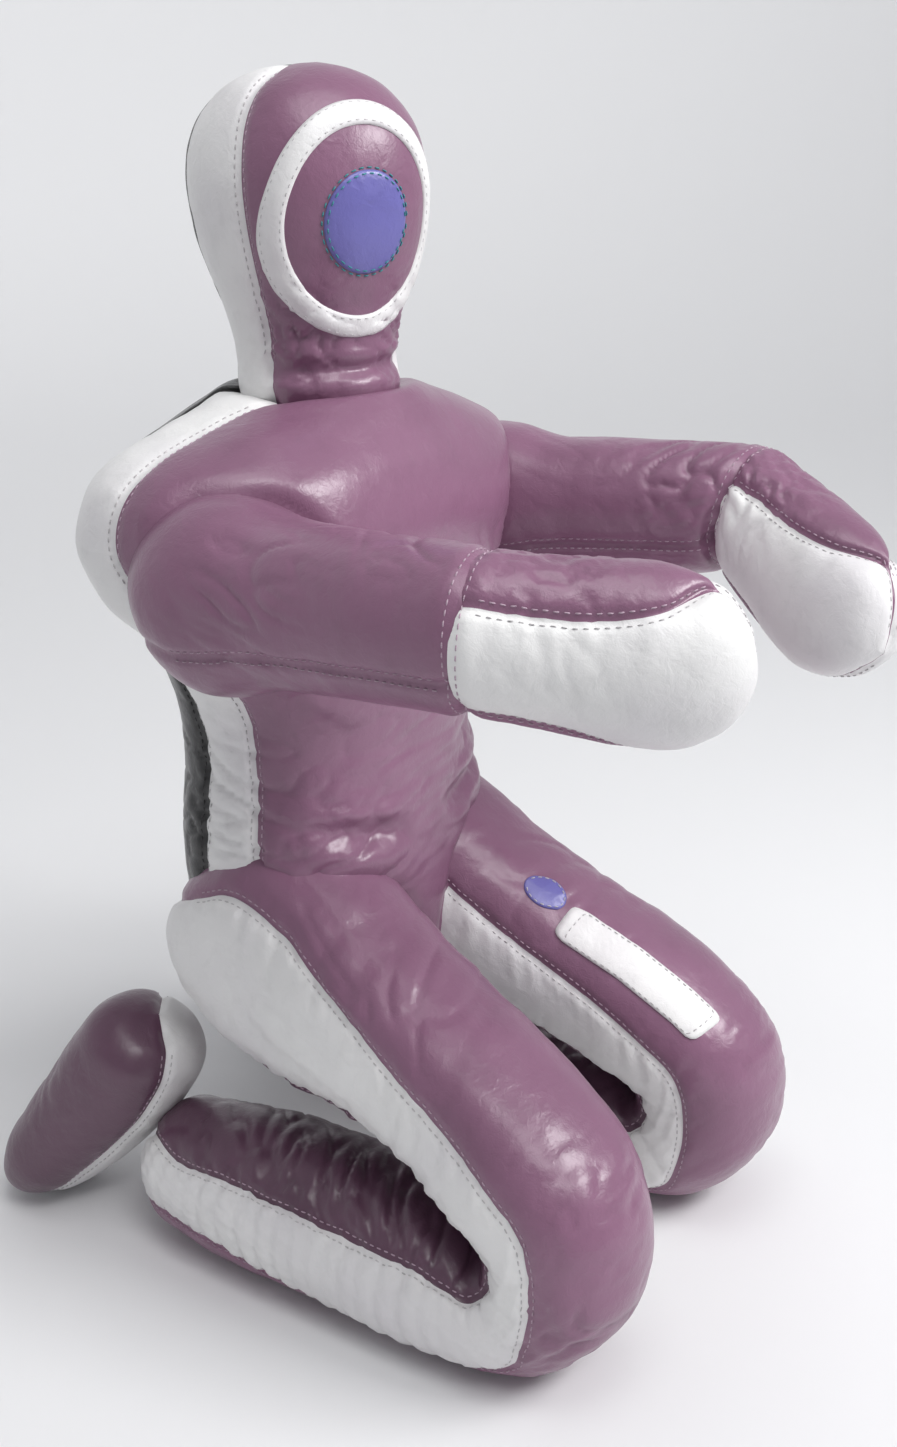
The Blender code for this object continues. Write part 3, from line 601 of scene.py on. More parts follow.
def keep_above_floor(skin):
    """Rests the skin flat on the floor."""
    low = skin.points[:, :, 2] < 0.0004
    skin.points[:, :, 2] = np.where(low, 0.0004, skin.points[:, :, 2])


# ---------------------------------------------------------------- meshes


def new_object(name, vertices, faces, shade, normals=None):
    data = bpy.data.meshes.new(name)
    data.from_pydata([tuple(v) for v in vertices], [], faces)
    data.materials.append(shade)
    data.shade_smooth()
    if normals is not None:
        data.normals_split_custom_set_from_vertices([tuple(n) for n in normals])
    obj = bpy.data.objects.new(name, data)
    bpy.context.scene.collection.objects.link(obj)
    return obj


def lip(skin, row, step):
    """The row of points that turns in past the end of an open sleeve."""
    ring = skin.points[row]
    middle = ring.mean(axis=0)
    onward = unit(middle - skin.points[row - step].mean(axis=0))
    return middle + (ring - middle) * LIP[0] + onward * LIP[1]


def panel_mesh(name, skin, k, shade, rows=None, lips=""):
    """One sewn panel of a skin, with edges that turn in at its seams, and at the ends that lips names."""
    first, last = rows or (0, len(skin.points) - 1)
    a, b = skin.starts[k], skin.starts[k + 1]
    columns = np.arange(a, b + 1) % skin.points.shape[1]
    points = skin.points[first:last + 1][:, columns]
    normals = skin.normals[first:last + 1][:, columns]
    depth = np.minimum(TUCK, 0.4 * skin.radius[first:last + 1])[:, None, None]
    tuck = points[:, [0, -1]] - normals[:, [0, -1]] * depth
    points = np.concatenate([tuck[:, :1], points, tuck[:, 1:]], axis=1)
    normals = np.concatenate([normals[:, :1], normals, normals[:, -1:]], axis=1)
    wide = np.concatenate([columns[:1], columns, columns[-1:]])
    if lips == "start":
        points = np.concatenate([lip(skin, 0, -1)[wide][None], points])
        normals = np.concatenate([normals[:1], normals])
    if lips == "end":
        points = np.concatenate([points, lip(skin, len(skin.points) - 1, 1)[wide][None]])
        normals = np.concatenate([normals, normals[-1:]])
    count, width = points.shape[:2]
    faces = []
    middle = points[count // 2, 1]
    corner = np.cross(points[count // 2, 2] - middle, points[count // 2 + 1, 1] - middle)
    flip = np.dot(corner, normals[count // 2, 1]) < 0
    for i in range(count - 1):
        for j in range(width - 1):
            v = i * width + j
            face = (v, v + 1, v + 1 + width, v + width)
            faces.append(face[::-1] if flip else face)
    return new_object(name, points.reshape(-1, 3), faces, shade, normals.reshape(-1, 3))


def stitch_row(line, outward):
    """Vertices and faces of a row of stitches along a line of surface points."""
    length, pitch, radius = STITCH
    steps = np.linalg.norm(np.diff(line, axis=0), axis=1)
    walked = np.concatenate([[0], np.cumsum(steps)])
    vertices, faces = [], []
    starts = np.arange(pitch * 0.5, walked[-1] - length, pitch)

    def at(distance, values):
        return np.array([np.interp(distance, walked, values[:, c]) for c in range(3)])

    for start in starts:
        a, b = at(start, line), at(start + length, line)
        out = unit(at(start + length / 2, outward))
        along = unit(b - a)
        across = np.cross(along, out)
        base = len(vertices)
        for t, swell in ((0.0, 0.35), (0.22, 1.0), (0.78, 1.0), (1.0, 0.35)):
            sink = radius * (0.55 if 0 < t < 1 else -0.4)
            centre = a + (b - a) * t + out * sink
            for angle in (0, 60, 120, 180, 240, 300):
                turn = math.radians(angle)
                vertices.append(centre + (across * math.cos(turn) + out * math.sin(turn)) * radius * swell)
        for ring in range(3):
            for k in range(6):
                j = (k + 1) % 6
                v = base + ring * 6
                faces.append((v + k, v + j, v + 6 + j, v + 6 + k))
        faces.append(tuple(base + k for k in range(5, -1, -1)))
        faces.append(tuple(base + 18 + k for k in range(6)))
    return vertices, faces


def stitches(name, lines, shade):
    """One object holding every stitch along the given (points, outward directions) lines."""
    vertices, faces = [], []
    for line, outward in lines:
        made, around = stitch_row(np.asarray(line), np.asarray(outward))
        faces.extend(tuple(v + len(vertices) for v in face) for face in around)
        vertices.extend(made)
    return new_object(name, vertices, faces, shade)


def seam_line(skin, k, edge, rows=None):
    """The line beside the seam at one edge of panel k where the stitches run."""
    first, last = rows or (0, len(skin.points) - 1)
    a, b = skin.starts[k], skin.starts[k + 1]
    columns = np.arange(a, b + 1) % skin.points.shape[1]
    if edge:
        columns = columns[::-1]
    line, outward = [], []
    for i in range(first, last + 1):
        p, n = skin.points[i, columns], skin.normals[i, columns]
        walked = np.concatenate([[0], np.cumsum(np.linalg.norm(np.diff(p, axis=0), axis=1))])
        if walked[-1] < 2.5 * STITCH_OFF:
            continue
        line.append([np.interp(STITCH_OFF, walked, p[:, c]) for c in range(3)])
        outward.append([np.interp(STITCH_OFF, walked, n[:, c]) for c in range(3)])
    return line, outward


def row_at(skin, place):
    """The index of the grid row nearest to a place in the row list."""
    return int(np.abs(skin.rows - place).argmin())


def finish_panel(obj, nodes):
    if nodes:
        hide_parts(*nodes)
    return obj


def closed_loop(line, outward):
    """A line of points and their outward directions, joined end to end."""
    return np.vstack([line, line[:1]]), np.vstack([outward, outward[:1]])


def cover(skin, body, looks, rows):
    """The four panels of the torso or the head, and the stitches beside their seams."""
    names = ((f"{body}_front_skin", "purple", (f"{body}_front_panel", f"{body}_filling")),
             (f"{body}_gusset_skin_R", "white", (f"{body}_side_gusset_R",)),
             (f"{body}_back_skin", "dark", (f"{body}_back_panel",)),
             (f"{body}_gusset_skin_L", "white", (f"{body}_side_gusset_L",)))
    for k, (name, colour, nodes) in enumerate(names):
        obj = panel_mesh(name, skin, k, looks[colour])
        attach(finish_panel(obj, nodes), body)
    groups = (("front", (0,), "purple"), ("side", (1, 3), "white"), ("back", (2,), "dark"))
    for place, panels, shade in groups:
        lines = [seam_line(skin, k, edge, rows) for k in panels for edge in (0, 1)]
        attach(stitches(f"{body}_stitches_{place}", lines, looks["thread_" + shade]), body)


# ---------------------------------------------------------------- torso


def mirrored(seam):
    return tuple((share, 180.0 - degrees) for share, degrees in seam)


def turned(seam):
    return tuple((share, 360.0 + degrees) for share, degrees in seam)


def limb_groove(skin, pivot, along, size, depth=0.006, width=0.011):
    """Pulls the torso in where a limb is sewn to it, in a ring round the limb."""
    for side in (1.0, -1.0):
        flip = np.array((side, 1.0, 1.0))
        place = (pivot + SHIFT) * flip
        direction = unit(along * flip)
        rest = skin.points - place
        ahead = rest @ direction
        across = rest - ahead[..., None] * direction
        sideways = across[..., 0] / size[0]
        upward = np.linalg.norm(across[..., 1:], axis=2) / size[1]
        reach = np.sqrt(sideways**2 + upward**2)
        distance = (reach - 1.0) * (size[0] + size[1]) / 2
        front = np.clip((ahead + 0.035) / 0.03, 0, 1)
        skin.push(-depth * np.exp(-(distance / width) ** 2) * front)
    skin.refresh()


def build_torso(looks):
    front, back = TORSO_FRONT_SEAM, TORSO_BACK_SEAM
    seams = (mirrored(front), front, back, turned(mirrored(back)))
    skin = Skin(upright(TORSO), seams, (0.44, 0.07, 0.42, 0.07))
    stuff(skin, 1.0, 0.0034, 0.0014)
    limb_groove(skin, SHOULDER, ELBOW - SHOULDER, SHOULDER_BALL, 0.010, 0.010)
    limb_groove(skin, np.array((-0.103, 0.080, 0.303)), np.array((-0.128, -0.958, -0.256)), (0.090, 0.098))
    for sign in (1.0, -1.0):
        skin.side = sign
        crease(skin, ((-0.150, 0.050, 0.455), (-0.100, 0.028, 0.437), (-0.045, 0.024, 0.430)), 0.0070, 0.011)
        crease(skin, ((-0.158, 0.070, 0.500), (-0.120, 0.040, 0.487), (-0.070, 0.030, 0.490)), 0.0032, 0.009,
               seed=3.0)
        crease(skin, ((-0.150, 0.045, 0.600), (-0.110, 0.030, 0.575), (-0.060, 0.025, 0.560)), 0.0028, 0.010,
               seed=6.0)
        wrinkles(skin, (0.55, 0.1, 0.85), (-0.150, 0.03, 0.640), 0.060, 0.0030, 2.0)
        wrinkles(skin, (1.0, 0.2, 0.15), (-0.100, 0.03, 0.420), 0.075, 0.0026, 4.0, 38.0, 7.0)
        wrinkles(skin, (-0.2, 1.0, 0.2), (-0.165, 0.13, 0.470), 0.080, 0.0028, 5.0)
    skin.side = 1.0
    wrinkles(skin, (1.0, 0.0, 0.1), (0.0, 0.01, 0.500), 0.110, 0.0014, 8.0)
    gusset = (0.0024, 0.020, 0.020)
    sew(skin, ((0.0020, 0.024, 0.028), gusset, (0.0018, 0.026, 0.024), gusset), 11)
    cover(skin, "torso", looks, (row_at(skin, 1.5), row_at(skin, 14.0)))


def surface_tree(*objects):
    vertices, faces = [], []
    for obj in objects:
        base = len(vertices)
        vertices.extend(v.co.copy() for v in obj.data.vertices)
        faces.extend(tuple(i + base for i in p.vertices) for p in obj.data.polygons)
    return BVHTree.FromPolygons(vertices, faces)


def build_zip(looks):
    """Tape with two rows of teeth, laid on the back; the slider and its pull come from the CAD."""
    low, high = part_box("zip_tape")
    tree = surface_tree(bpy.data.objects["torso_back_skin"])
    heights = np.linspace(low.z, high.z, 90)
    across = np.linspace(-1, 1, 9) * (high.x - low.x) / 2
    points, faces = [], []
    surface = []
    for z in heights:
        hit = tree.ray_cast(Vector((0, 0.5, z)), Vector((0, -1, 0)))[0]
        y = max(hit.y + 0.0010, low.y) if hit else low.y
        surface.append(min(max(y, low.y - 0.004), high.y))
    surface = np.convolve(np.pad(surface, 6, mode="edge"), np.ones(13) / 13, mode="valid")
    for y, z in zip(surface, heights):
        for x in across:
            rim = abs(x) > 0.9 * across[-1]
            points.append((x, y + (0.0004 if rim else 0.0011), z))
    for i in range(len(heights) - 1):
        for j in range(len(across) - 1):
            v = i * len(across) + j
            faces.append((v, v + len(across), v + len(across) + 1, v + 1))
    tape = new_object("zip_tape_cloth", points, faces, looks["tape"])
    solid = tape.modifiers.new("Thickness", "SOLIDIFY")
    solid.thickness = 0.0011
    solid.offset = -1.0
    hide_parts("zip_tape")
    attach(tape, "torso")
    bm = bmesh.new()
    count = int((high.z - low.z - 0.010) / TOOTH_PITCH)
    for i in range(count):
        z = low.z + 0.005 + i * TOOTH_PITCH
        y = np.interp(z, heights, surface)
        x = 0.0011 if i % 2 else -0.0011
        made = bmesh.ops.create_cube(bm, size=1.0)
        for vert in made["verts"]:
            vert.co = Vector((x, y + TOOTH[1] * 0.9, z)) + vert.co * Vector(TOOTH)
    bmesh.ops.bevel(bm, geom=bm.edges, offset=0.0003, segments=1, affect="EDGES")
    data = bpy.data.meshes.new("zip_teeth")
    bm.to_mesh(data)
    bm.free()
    data.materials.append(looks["metal"])
    teeth = bpy.data.objects.new("zip_teeth", data)
    bpy.context.scene.collection.objects.link(teeth)
    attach(teeth, "torso")
    for name in ("zip_slider", "zip_pull"):
        node = frame["nodes"][name]
        node.data.materials.clear()
        node.data.materials.append(looks["metal"])


# ---------------------------------------------------------------- head


def turn_head(points):
    angle = math.radians(HEAD_TURN)
    cosine, sine = math.cos(angle), math.sin(angle)
    turn = np.array(((cosine, -sine, 0), (sine, cosine, 0), (0, 0, 1)))
    middle = NECK_PIVOT + SHIFT
    return (np.asarray(points) - middle) @ turn.T + middle


def build_head(looks):
    front, back = HEAD_GUSSET
    crown = ((0.0, front), (0.85, front), (1.0, 176.0))
    nape = ((0.0, back), (0.85, back), (1.0, 184.0))
    crown_left = ((0.0, 180.0 - front), (0.85, 180.0 - front), (1.0, 4.0))
    nape_left = ((0.0, 540.0 - back), (0.85, 540.0 - back), (1.0, 356.0))
    skin = Skin(upright(HEAD), (crown_left, crown, nape, nape_left), (0.36, 0.14, 0.36, 0.14))
    stuff(skin, 2.0, 0.0018, 0.0008)
    for sign in (1.0, -1.0):
        skin.side = sign
        wrinkles(skin, (1.0, 0.3, 0.1), (-0.055, 0.07, 0.872), 0.045, 0.0028, 3.0, 70.0, 12.0)
    skin.side = 1.0
    crease(skin, ((-0.076, 0.110, 0.850), (-0.045, 0.074, 0.846), (0.0, 0.060, 0.845), (0.045, 0.074, 0.846),
                  (0.076, 0.110, 0.850)), 0.0040, 0.007)
    gusset = (0.0016, 0.017, 0.014)
    sew(skin, ((0.0014, 0.018, 0.014), gusset, (0.0014, 0.020, 0.014), gusset), 21)
    skin.points = turn_head(skin.points.reshape(-1, 3)).reshape(skin.points.shape)
    skin.refresh()
    cover(skin, "head", looks, (row_at(skin, 3.5), row_at(skin, 11.0)))


def face_places(tree, outline, lift):
    """Points of an outline (x, z) dropped on the front of the head, and the surface's direction there."""
    places, outward = [], []
    angle = math.radians(HEAD_TURN)
    ahead = Vector((math.sin(angle), -math.cos(angle), 0.0))
    for x, z in outline:
        start = turn_head([np.array((x, -0.2, z)) + SHIFT])[0]
        hit, normal, _, _ = tree.ray_cast(Vector(start), -ahead)
        if normal.dot(ahead) < 0:
            normal = -normal
        places.append(np.array(hit + normal * lift))
        outward.append(np.array(normal))
    return np.array(places), np.array(outward)


def applied(name, looks_material, rings, closed_middle):
    """A piece sewn on top of a panel, from rings of points, outer edge first."""
    count = len(rings[0])
    vertices = [p for ring in rings for p in ring]
    faces = []
    for i in range(len(rings) - 1):
        for k in range(count):
            j = (k + 1) % count
            faces.append((i * count + k, i * count + j, (i + 1) * count + j, (i + 1) * count + k))
    if closed_middle:
        faces.append(tuple((len(rings) - 1) * count + k for k in range(count)))
    return new_object(name, vertices, faces, looks_material)


def build_face(looks):
    tree = surface_tree(bpy.data.objects["head_front_skin"])
    width, height, side_band, top_band = FACE_RING
    around = np.linspace(0, 2 * math.pi, 144, endpoint=False)

    def ring_at(t, lift):
        w, h = width - side_band * t, height - top_band * t
        return face_places(tree, [(w * math.cos(a), FACE_CENTRE_Z + h * math.sin(a)) for a in around], lift)

    shares = np.linspace(0, 1, 11)
    lifts = [-0.0015] + [0.0012 + 0.0026 * math.sin(math.pi * t) ** 0.6 for t in shares] + [-0.0015]
    rings = [ring_at(t, lift)[0] for t, lift in zip([0.0, *shares, 1.0], lifts)]
    ring = applied("face_ring_skin", looks["white"], rings, False)
    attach(finish_panel(ring, ("face_ring",)), "head")

    def disc_at(t, lift):
        w, h = FACE_DISC[0] * t, FACE_DISC[1] * t
        return face_places(tree, [(w * math.cos(a), FACE_CENTRE_Z + h * math.sin(a)) for a in around], lift)

    shares = (1.0, 1.0, 0.965, 0.92, 0.8, 0.6, 0.4, 0.2, 0.04)
    lifts = (-0.0015, 0.0010, 0.0019, 0.0024, 0.0027, 0.0031, 0.0034, 0.0036, 0.0037)
    rings = [disc_at(t, lift)[0] for t, lift in zip(shares, lifts)]
    disc = applied("face_bullseye_skin", looks["blue"], rings, True)
    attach(finish_panel(disc, ("face_bullseye",)), "head")
    loops = [closed_loop(*ring_at(t, 0.0022)) for t in (0.14, 0.86)]
    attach(stitches("face_ring_stitches", loops, looks["thread_white"]), "head")
    for name, t, lift in (("face_bullseye_stitches", 0.93, 0.0024), ("face_bullseye_edging", 1.045, 0.0004)):
        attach(stitches(name, [closed_loop(*disc_at(t, lift))], looks["thread_teal"]), "head")


# ---------------------------------------------------------------- arms


def hand_end(side):
    return HAND_END - np.array((0.0, 0.0, LEFT_HAND_DROP if side < 0 else 0.0))


def elbow_section(side):
    """The section at the elbow, where the mitt is sewn to the sleeve."""
    arm, hand = unit(ELBOW - SHOULDER), unit(hand_end(side) - ELBOW)
    return station(ELBOW, arm + hand, (1, 0, 0), (0, 0, 1), (0.0575, 0.0605), 2.1)


def build_upper_arm(label, side, looks):
    along = ELBOW - SHOULDER
    sections = ball_sections(SHOULDER, along, SHOULDER_BALL, (-89.5, -75.0, -58.0, -40.0, -20.0))
    sections += arm_sections(SHOULDER, ELBOW, UPPER_ARM)
    sections.append(elbow_section(side))
    skin = Skin(sections, (-26.0, ARM_SEAM), (0.64, 0.36), side)
    stuff(skin, 4.0 + side, 0.0022, 0.0010)
    wrinkles(skin, (1.0, 0.5, -0.4), (-0.200, -0.14, 0.740), 0.060, 0.0030, 5.0 + side)
    wrinkles(skin, (-0.2, 1.0, 0.3), (-0.250, 0.00, 0.700), 0.060, 0.0026, 7.0 + side)
    sew(skin, ((0.0016, 0.022, 0.022), (0.0022, 0.022, 0.022)), 31 + side)
    end_groove(skin)
    body = "upper_arm_" + label
    top = panel_mesh("upper_arm_top_skin_" + label, skin, 0, looks["purple"], lips="end")
    under = panel_mesh("upper_arm_under_skin_" + label, skin, 1, looks["purple"], lips="end")
    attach(finish_panel(top, ("upper_arm_top_panel_" + label, "upper_arm_filling_" + label)), body)
    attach(finish_panel(under, ("upper_arm_under_panel_" + label,)), body)
    rows = (row_at(skin, 5.0), len(skin.points) - 3)
    lines = [seam_line(skin, k, edge, rows) for k in (0, 1) for edge in (0, 1)]
    lines.append(ring_line(skin, -2))
    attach(stitches("upper_arm_stitches_" + label, lines, looks["thread_purple"]), body)


def end_groove(skin, last=True):
    """Pulls in the end of a sleeve where the next piece is sewn on."""
    distance = (skin.along[-1:] - skin.along) if last else skin.along
    skin.push(-0.0052 * np.exp(-(distance / 0.0060) ** 2))
    skin.refresh()


def ring_line(skin, row):
    """A line of stitches once round the tube."""
    return closed_loop(skin.points[row], skin.normals[row])


def build_mitt(label, side, looks):
    end = hand_end(side)
    sections = [elbow_section(side)] + arm_sections(ELBOW, end, FOREARM)
    tongue_out = ((0.0, 146.0), (0.26, 146.0), (0.40, 140.0), (0.48, 124.0), (0.53, 94.0), (1.0, 92.0))
    strip_out = ((0.0, 232.0), (0.26, 236.0), (0.54, 264.0), (1.0, 268.0))
    tongue_in = tuple((s, 180.0 - a) for s, a in tongue_out)
    strip_in = tuple((s, 540.0 - a) for s, a in strip_out)
    skin = Skin(sections, (tongue_in, tongue_out, strip_out, strip_in), (0.30, 0.25, 0.20, 0.25), side)
    stuff(skin, 6.0 + side, 0.0016, 0.0008)
    wrinkles(skin, (0.2, 0.2, 1.0), (-0.215, -0.215, 0.720), 0.055, 0.0034, 9.0 + side, 60.0, 12.0)
    palm = (0.0016, 0.016, 0.018)
    sew(skin, ((0.0012, 0.018, 0.014), palm, (0.0014, 0.018, 0.014), palm), 51 + side)
    end_groove(skin, last=False)
    kinds = (("top", "purple", ("mitt_top_panel_", "mitt_filling_")),
             ("outer", "white", ("mitt_outer_panel_",)),
             ("under", "purple", ("mitt_under_panel_",)),
             ("inner", "white", ("mitt_inner_panel_",)))
    for k, (kind, colour, nodes) in enumerate(kinds):
        obj = panel_mesh(f"mitt_{kind}_skin_{label}", skin, k, looks[colour], lips="start")
        finish_panel(obj, [node + label for node in nodes])
        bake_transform(obj)
    rows = (2, row_at(skin, 6.2))
    for name, panels, shade in (("mitt_stitches_purple_", (0, 2), "thread_purple"),
                                ("mitt_stitches_white_", (1, 3), "thread_white")):
        lines = [seam_line(skin, k, edge, rows) for k in panels for edge in (0, 1)]
        lines = [line for line in lines if len(line[0]) > 4]
        if panels[0] == 0:
            lines.append(ring_line(skin, 1))
        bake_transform(stitches(name + label, lines, looks[shade]))


# ---------------------------------------------------------------- legs


def gather_u(skin, seed):
    """The close gathers of the white outer gusset, which bunch up round the knee and along the shin."""
    place = skin.rows[:, None]
    amount = 0.0014 + 0.0030 * np.exp(-((place - 12.0) / 3.0) ** 2)
    amount += 0.0075 * np.exp(-((place - 17.5) / 2.4) ** 2)
    for k in (1, 3):
        columns = skin.panel == k
        share = skin.left[:, columns] / np.maximum(skin.left[:, columns] + skin.right[:, columns], 1e-6)
        walked = skin.along[:, columns].mean(axis=1, keepdims=True) + 0.007 * np.sin(3 * share + seed)
        phase = walked / GATHER + 0.9 * seam_noise(walked + 0 * share, seed + k, 0.070)
        uneven = 0.65 + 0.6 * seam_noise(walked + 0 * share, seed + k + 5, 0.033)
        sharp = (1 - np.abs(np.sin(math.pi * phase))) ** 1.4 * uneven
        height = np.zeros(skin.points.shape[:2])
        edge = 0.60 + 0.40 * np.abs(2 * share - 1)
        height[:, columns] = amount * (0.25 - sharp) * edge
        skin.push(height)
    skin.refresh()


def build_leg(label, side, looks):
    front = tuple((i / (len(LEG) - 1), float(row[5])) for i, row in enumerate(LEG))
    back = tuple((i / (len(LEG) - 1), float(row[6])) for i, row in enumerate(LEG))
    inner_front = mirrored(front)
    inner_back = tuple((s, 540.0 - a) for s, a in back)
    skin = Skin(leg_sections(), (inner_front, front, back, inner_back), (0.40, 0.17, 0.26, 0.17), side)
    stuff(skin, 8.0 + side, 0.0026, 0.0011)
    wrinkles(skin, (1.0, 0.2, 0.0), (-0.120, -0.060, 0.330), 0.090, 0.0018, 10.0 + side, 34.0, 8.0)
    wrinkles(skin, (0.2, 1.0, 0.5), (-0.185, 0.060, 0.300), 0.080, 0.0026, 12.0 + side)
    wrinkles(skin, (1.0, 0.0, 0.0), (-0.150, -0.250, 0.200), 0.060, 0.0022, 13.0 + side)
    wrinkles(skin, (1.0, -0.3, 0.1), (-0.190, -0.250, 0.090), 0.060, 0.0030, 16.0 + side)
    for y in (0.10, 0.0, -0.09):
        wrinkles(skin, (1.0, 0.4, 0.1), (-0.180, y, 0.140), 0.065, 0.0034, 17.0 + 9 * y + side)
    gusset = (0.0036, 0.019, 0.026)
    sew(skin, ((0.0030, 0.022, 0.034), gusset, (0.0030, 0.022, 0.030), gusset), 71 + side)
    gather_u(skin, 90.0 + side)
    keep_above_floor(skin)
    skin.refresh()
    knee = (row_at(skin, KNEE_ROWS[0]), row_at(skin, KNEE_ROWS[1]))
    last = len(skin.points) - 1
    # The back panels take the darker copy of the purple, which is painted shade.
    parts = (("front", "purple", "thigh_front_panel_", "shin_front_panel_"),
             ("outer", "white", "thigh_outer_gusset_", "shin_outer_gusset_"),
             ("back", "purple_painted_shade", "thigh_back_panel_", "shin_calf_panel_"),
             ("inner", "white", "thigh_inner_gusset_", "shin_inner_gusset_"))
    for k, (kind, colour, thigh_node, shin_node) in enumerate(parts):
        thigh = panel_mesh(f"thigh_{kind}_skin_{label}", skin, k, looks[colour], (0, knee[0]))
        bend = panel_mesh(f"knee_{kind}_skin_{label}", skin, k, looks[colour], knee)
        shin = panel_mesh(f"shin_{kind}_skin_{label}", skin, k, looks[colour], (knee[1], last))
        thigh_nodes, shin_nodes = [thigh_node + label], [shin_node + label]
        if kind == "front":
            thigh_nodes.append("thigh_filling_" + label)
            shin_nodes.append("shin_filling_" + label)
        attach(finish_panel(thigh, thigh_nodes), "thigh_" + label)
        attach(finish_panel(shin, shin_nodes), "shin_" + label)
        finish_panel(bend, ())
        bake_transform(bend)
    spans = (("thigh", (row_at(skin, 2.0), knee[0])), ("knee", knee), ("shin", (knee[1], row_at(skin, 21.5))))
    for part, rows in spans:
        for shade, panels in (("purple", (0, 2)), ("white", (1, 3))):
            lines = [seam_line(skin, k, edge, rows) for k in panels for edge in (0, 1)]
            obj = stitches(f"{part}_stitches_{shade}_{label}", lines, looks["thread_" + shade])
            if part == "knee":
                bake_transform(obj)
            else:
                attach(obj, f"{part}_{label}")
    return skin


def build_foot(label, side, looks):
    skin = Skin(path_sections(FOOT, (0, -0.78, -0.62)), (-32.0, 118.0), (0.44, 0.56), side)
    stuff(skin, 14.0 + side, 0.0020, 0.0009)
    wrinkles(skin, (1.0, 0.2, 0.2), (-0.180, 0.330, 0.150), 0.060, 0.0022, 15.0 + side)
    sew(skin, ((0.0024, 0.018, 0.020), (0.0018, 0.020, 0.022)), 101 + side)
    keep_above_floor(skin)
    skin.refresh()
    body = "foot_" + label
    instep = panel_mesh("foot_instep_skin_" + label, skin, 0, looks["white"])
    # The sole takes the darker copy of the purple, which is painted shade.
    sole = panel_mesh("foot_sole_skin_" + label, skin, 1, looks["purple_painted_shade"])
    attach(finish_panel(instep, ("foot_instep_panel_" + label,)), body)
    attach(finish_panel(sole, ("foot_sole_panel_" + label, "foot_filling_" + label)), body)
    rows = (row_at(skin, 2.0), row_at(skin, 8.5))
    for shade, k in (("white", 0), ("purple", 1)):
        lines = [seam_line(skin, k, edge, rows) for edge in (0, 1)]
        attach(stitches(f"foot_stitches_{shade}_{label}", lines, looks["thread_" + shade]), body)


# ---------------------------------------------------------------- label


def leg_point(skin, place, degrees):
    """A point of the left leg's skin, at a place in the row list and an angle round the leg."""
    section = leg_sections()[int(place)]
    following = leg_sections()[int(place) + 1]
    t = place - int(place)
    low = section_points(section, [degrees])[0]
    high = section_points(following, [degrees])[0]
    middle = section[0] + (following[0] - section[0]) * t
    flip = np.array((skin.side, 1.0, 1.0))
    return (low + (high - low) * t + SHIFT) * flip, (middle + SHIFT) * flip


def on_skin(tree, skin, place, degrees, lift):
    point, middle = leg_point(skin, place, degrees)
    out = unit(point - middle)
    hit, normal, _, _ = tree.ray_cast(Vector(point + out * 0.05), Vector(-out))
    if normal.dot(Vector(out)) < 0:
        normal = -normal
    return np.array(hit) + np.array(normal) * lift, np.array(normal)


def build_label(skin, looks):
    """A blank patch and a plain disc sewn on the left thigh."""
    tree = surface_tree(*[bpy.data.objects[n] for n in ("thigh_front_skin_L", "knee_front_skin_L")])
    columns, rows = 22, 34

    def patch_point(u, v, lift):
        bend = 1.0 - 0.12 * (2 * u - 1) ** 8
        place = LABEL_ROWS[0] + (LABEL_ROWS[1] - LABEL_ROWS[0]) * (0.5 + (v - 0.5) * bend)
        degrees = LABEL_DEGREES[0] + (LABEL_DEGREES[1] - LABEL_DEGREES[0]) * u
        return on_skin(tree, skin, place, degrees, lift)

    vertices, faces = [], []
    for i in range(rows + 1):
        for j in range(columns + 1):
            edge = min(i, rows - i, j, columns - j)
            lift = (-0.0010, 0.0016, 0.0022)[min(edge, 2)]
            u, v = np.clip((j - 1) / (columns - 2), 0, 1), np.clip((i - 1) / (rows - 2), 0, 1)
            vertices.append(patch_point(u, v, lift)[0])
    for i in range(rows):
        for j in range(columns):
            v = i * (columns + 1) + j
            faces.append((v, v + columns + 1, v + columns + 2, v + 1))
    patch = new_object("thigh_label_patch_skin", vertices, faces, looks["white"])
    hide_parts("thigh_label_patch")
    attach(patch, "thigh_L")
    near, far = 0.06, 0.94
    across, along = np.linspace(near, far, 30), np.linspace(near, far, 40)
    outline = [(u, near) for u in across] + [(far, v) for v in along]
    outline += [(u, far) for u in across[::-1]] + [(near, v) for v in along[::-1]]
    places = [patch_point(u, v, 0.0022) for u, v in outline]
    line = ([p[0] for p in places], [p[1] for p in places])
    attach(stitches("thigh_label_stitches", [line], looks["thread_white"]), "thigh_L")
    build_disc(skin, tree, looks)


def build_disc(skin, tree, looks):
    length = 0.063  # distance between the two rows of LEG that the disc lies on
    around = np.linspace(0, 2 * math.pi, 72, endpoint=False)

    def ring(radius, lift):
        made = []
        for angle in around:
            place = DISC_AT[0] - radius * math.cos(angle) / length
            degrees = DISC_AT[1] + math.degrees(radius * math.sin(angle) / 0.085)
            made.append(on_skin(tree, skin, place, degrees, lift))
        return np.array([m[0] for m in made]), np.array([m[1] for m in made])

    shares = (1.0, 1.0, 0.95, 0.85, 0.6, 0.3, 0.05)
    lifts = (-0.0010, 0.0009, 0.0016, 0.0019, 0.0021, 0.0022, 0.0023)
    rings = [ring(DISC_RADIUS * t, h)[0] for t, h in zip(shares, lifts)]
    disc = applied("thigh_label_disc_skin", looks["blue"], rings, True)
    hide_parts("thigh_label_disc")
    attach(disc, "thigh_L")
    loop = closed_loop(*ring(DISC_RADIUS * 0.88, 0.0018))
    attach(stitches("thigh_label_disc_stitches", [loop], looks["thread_white"]), "thigh_L")


# ---------------------------------------------------------------- studio


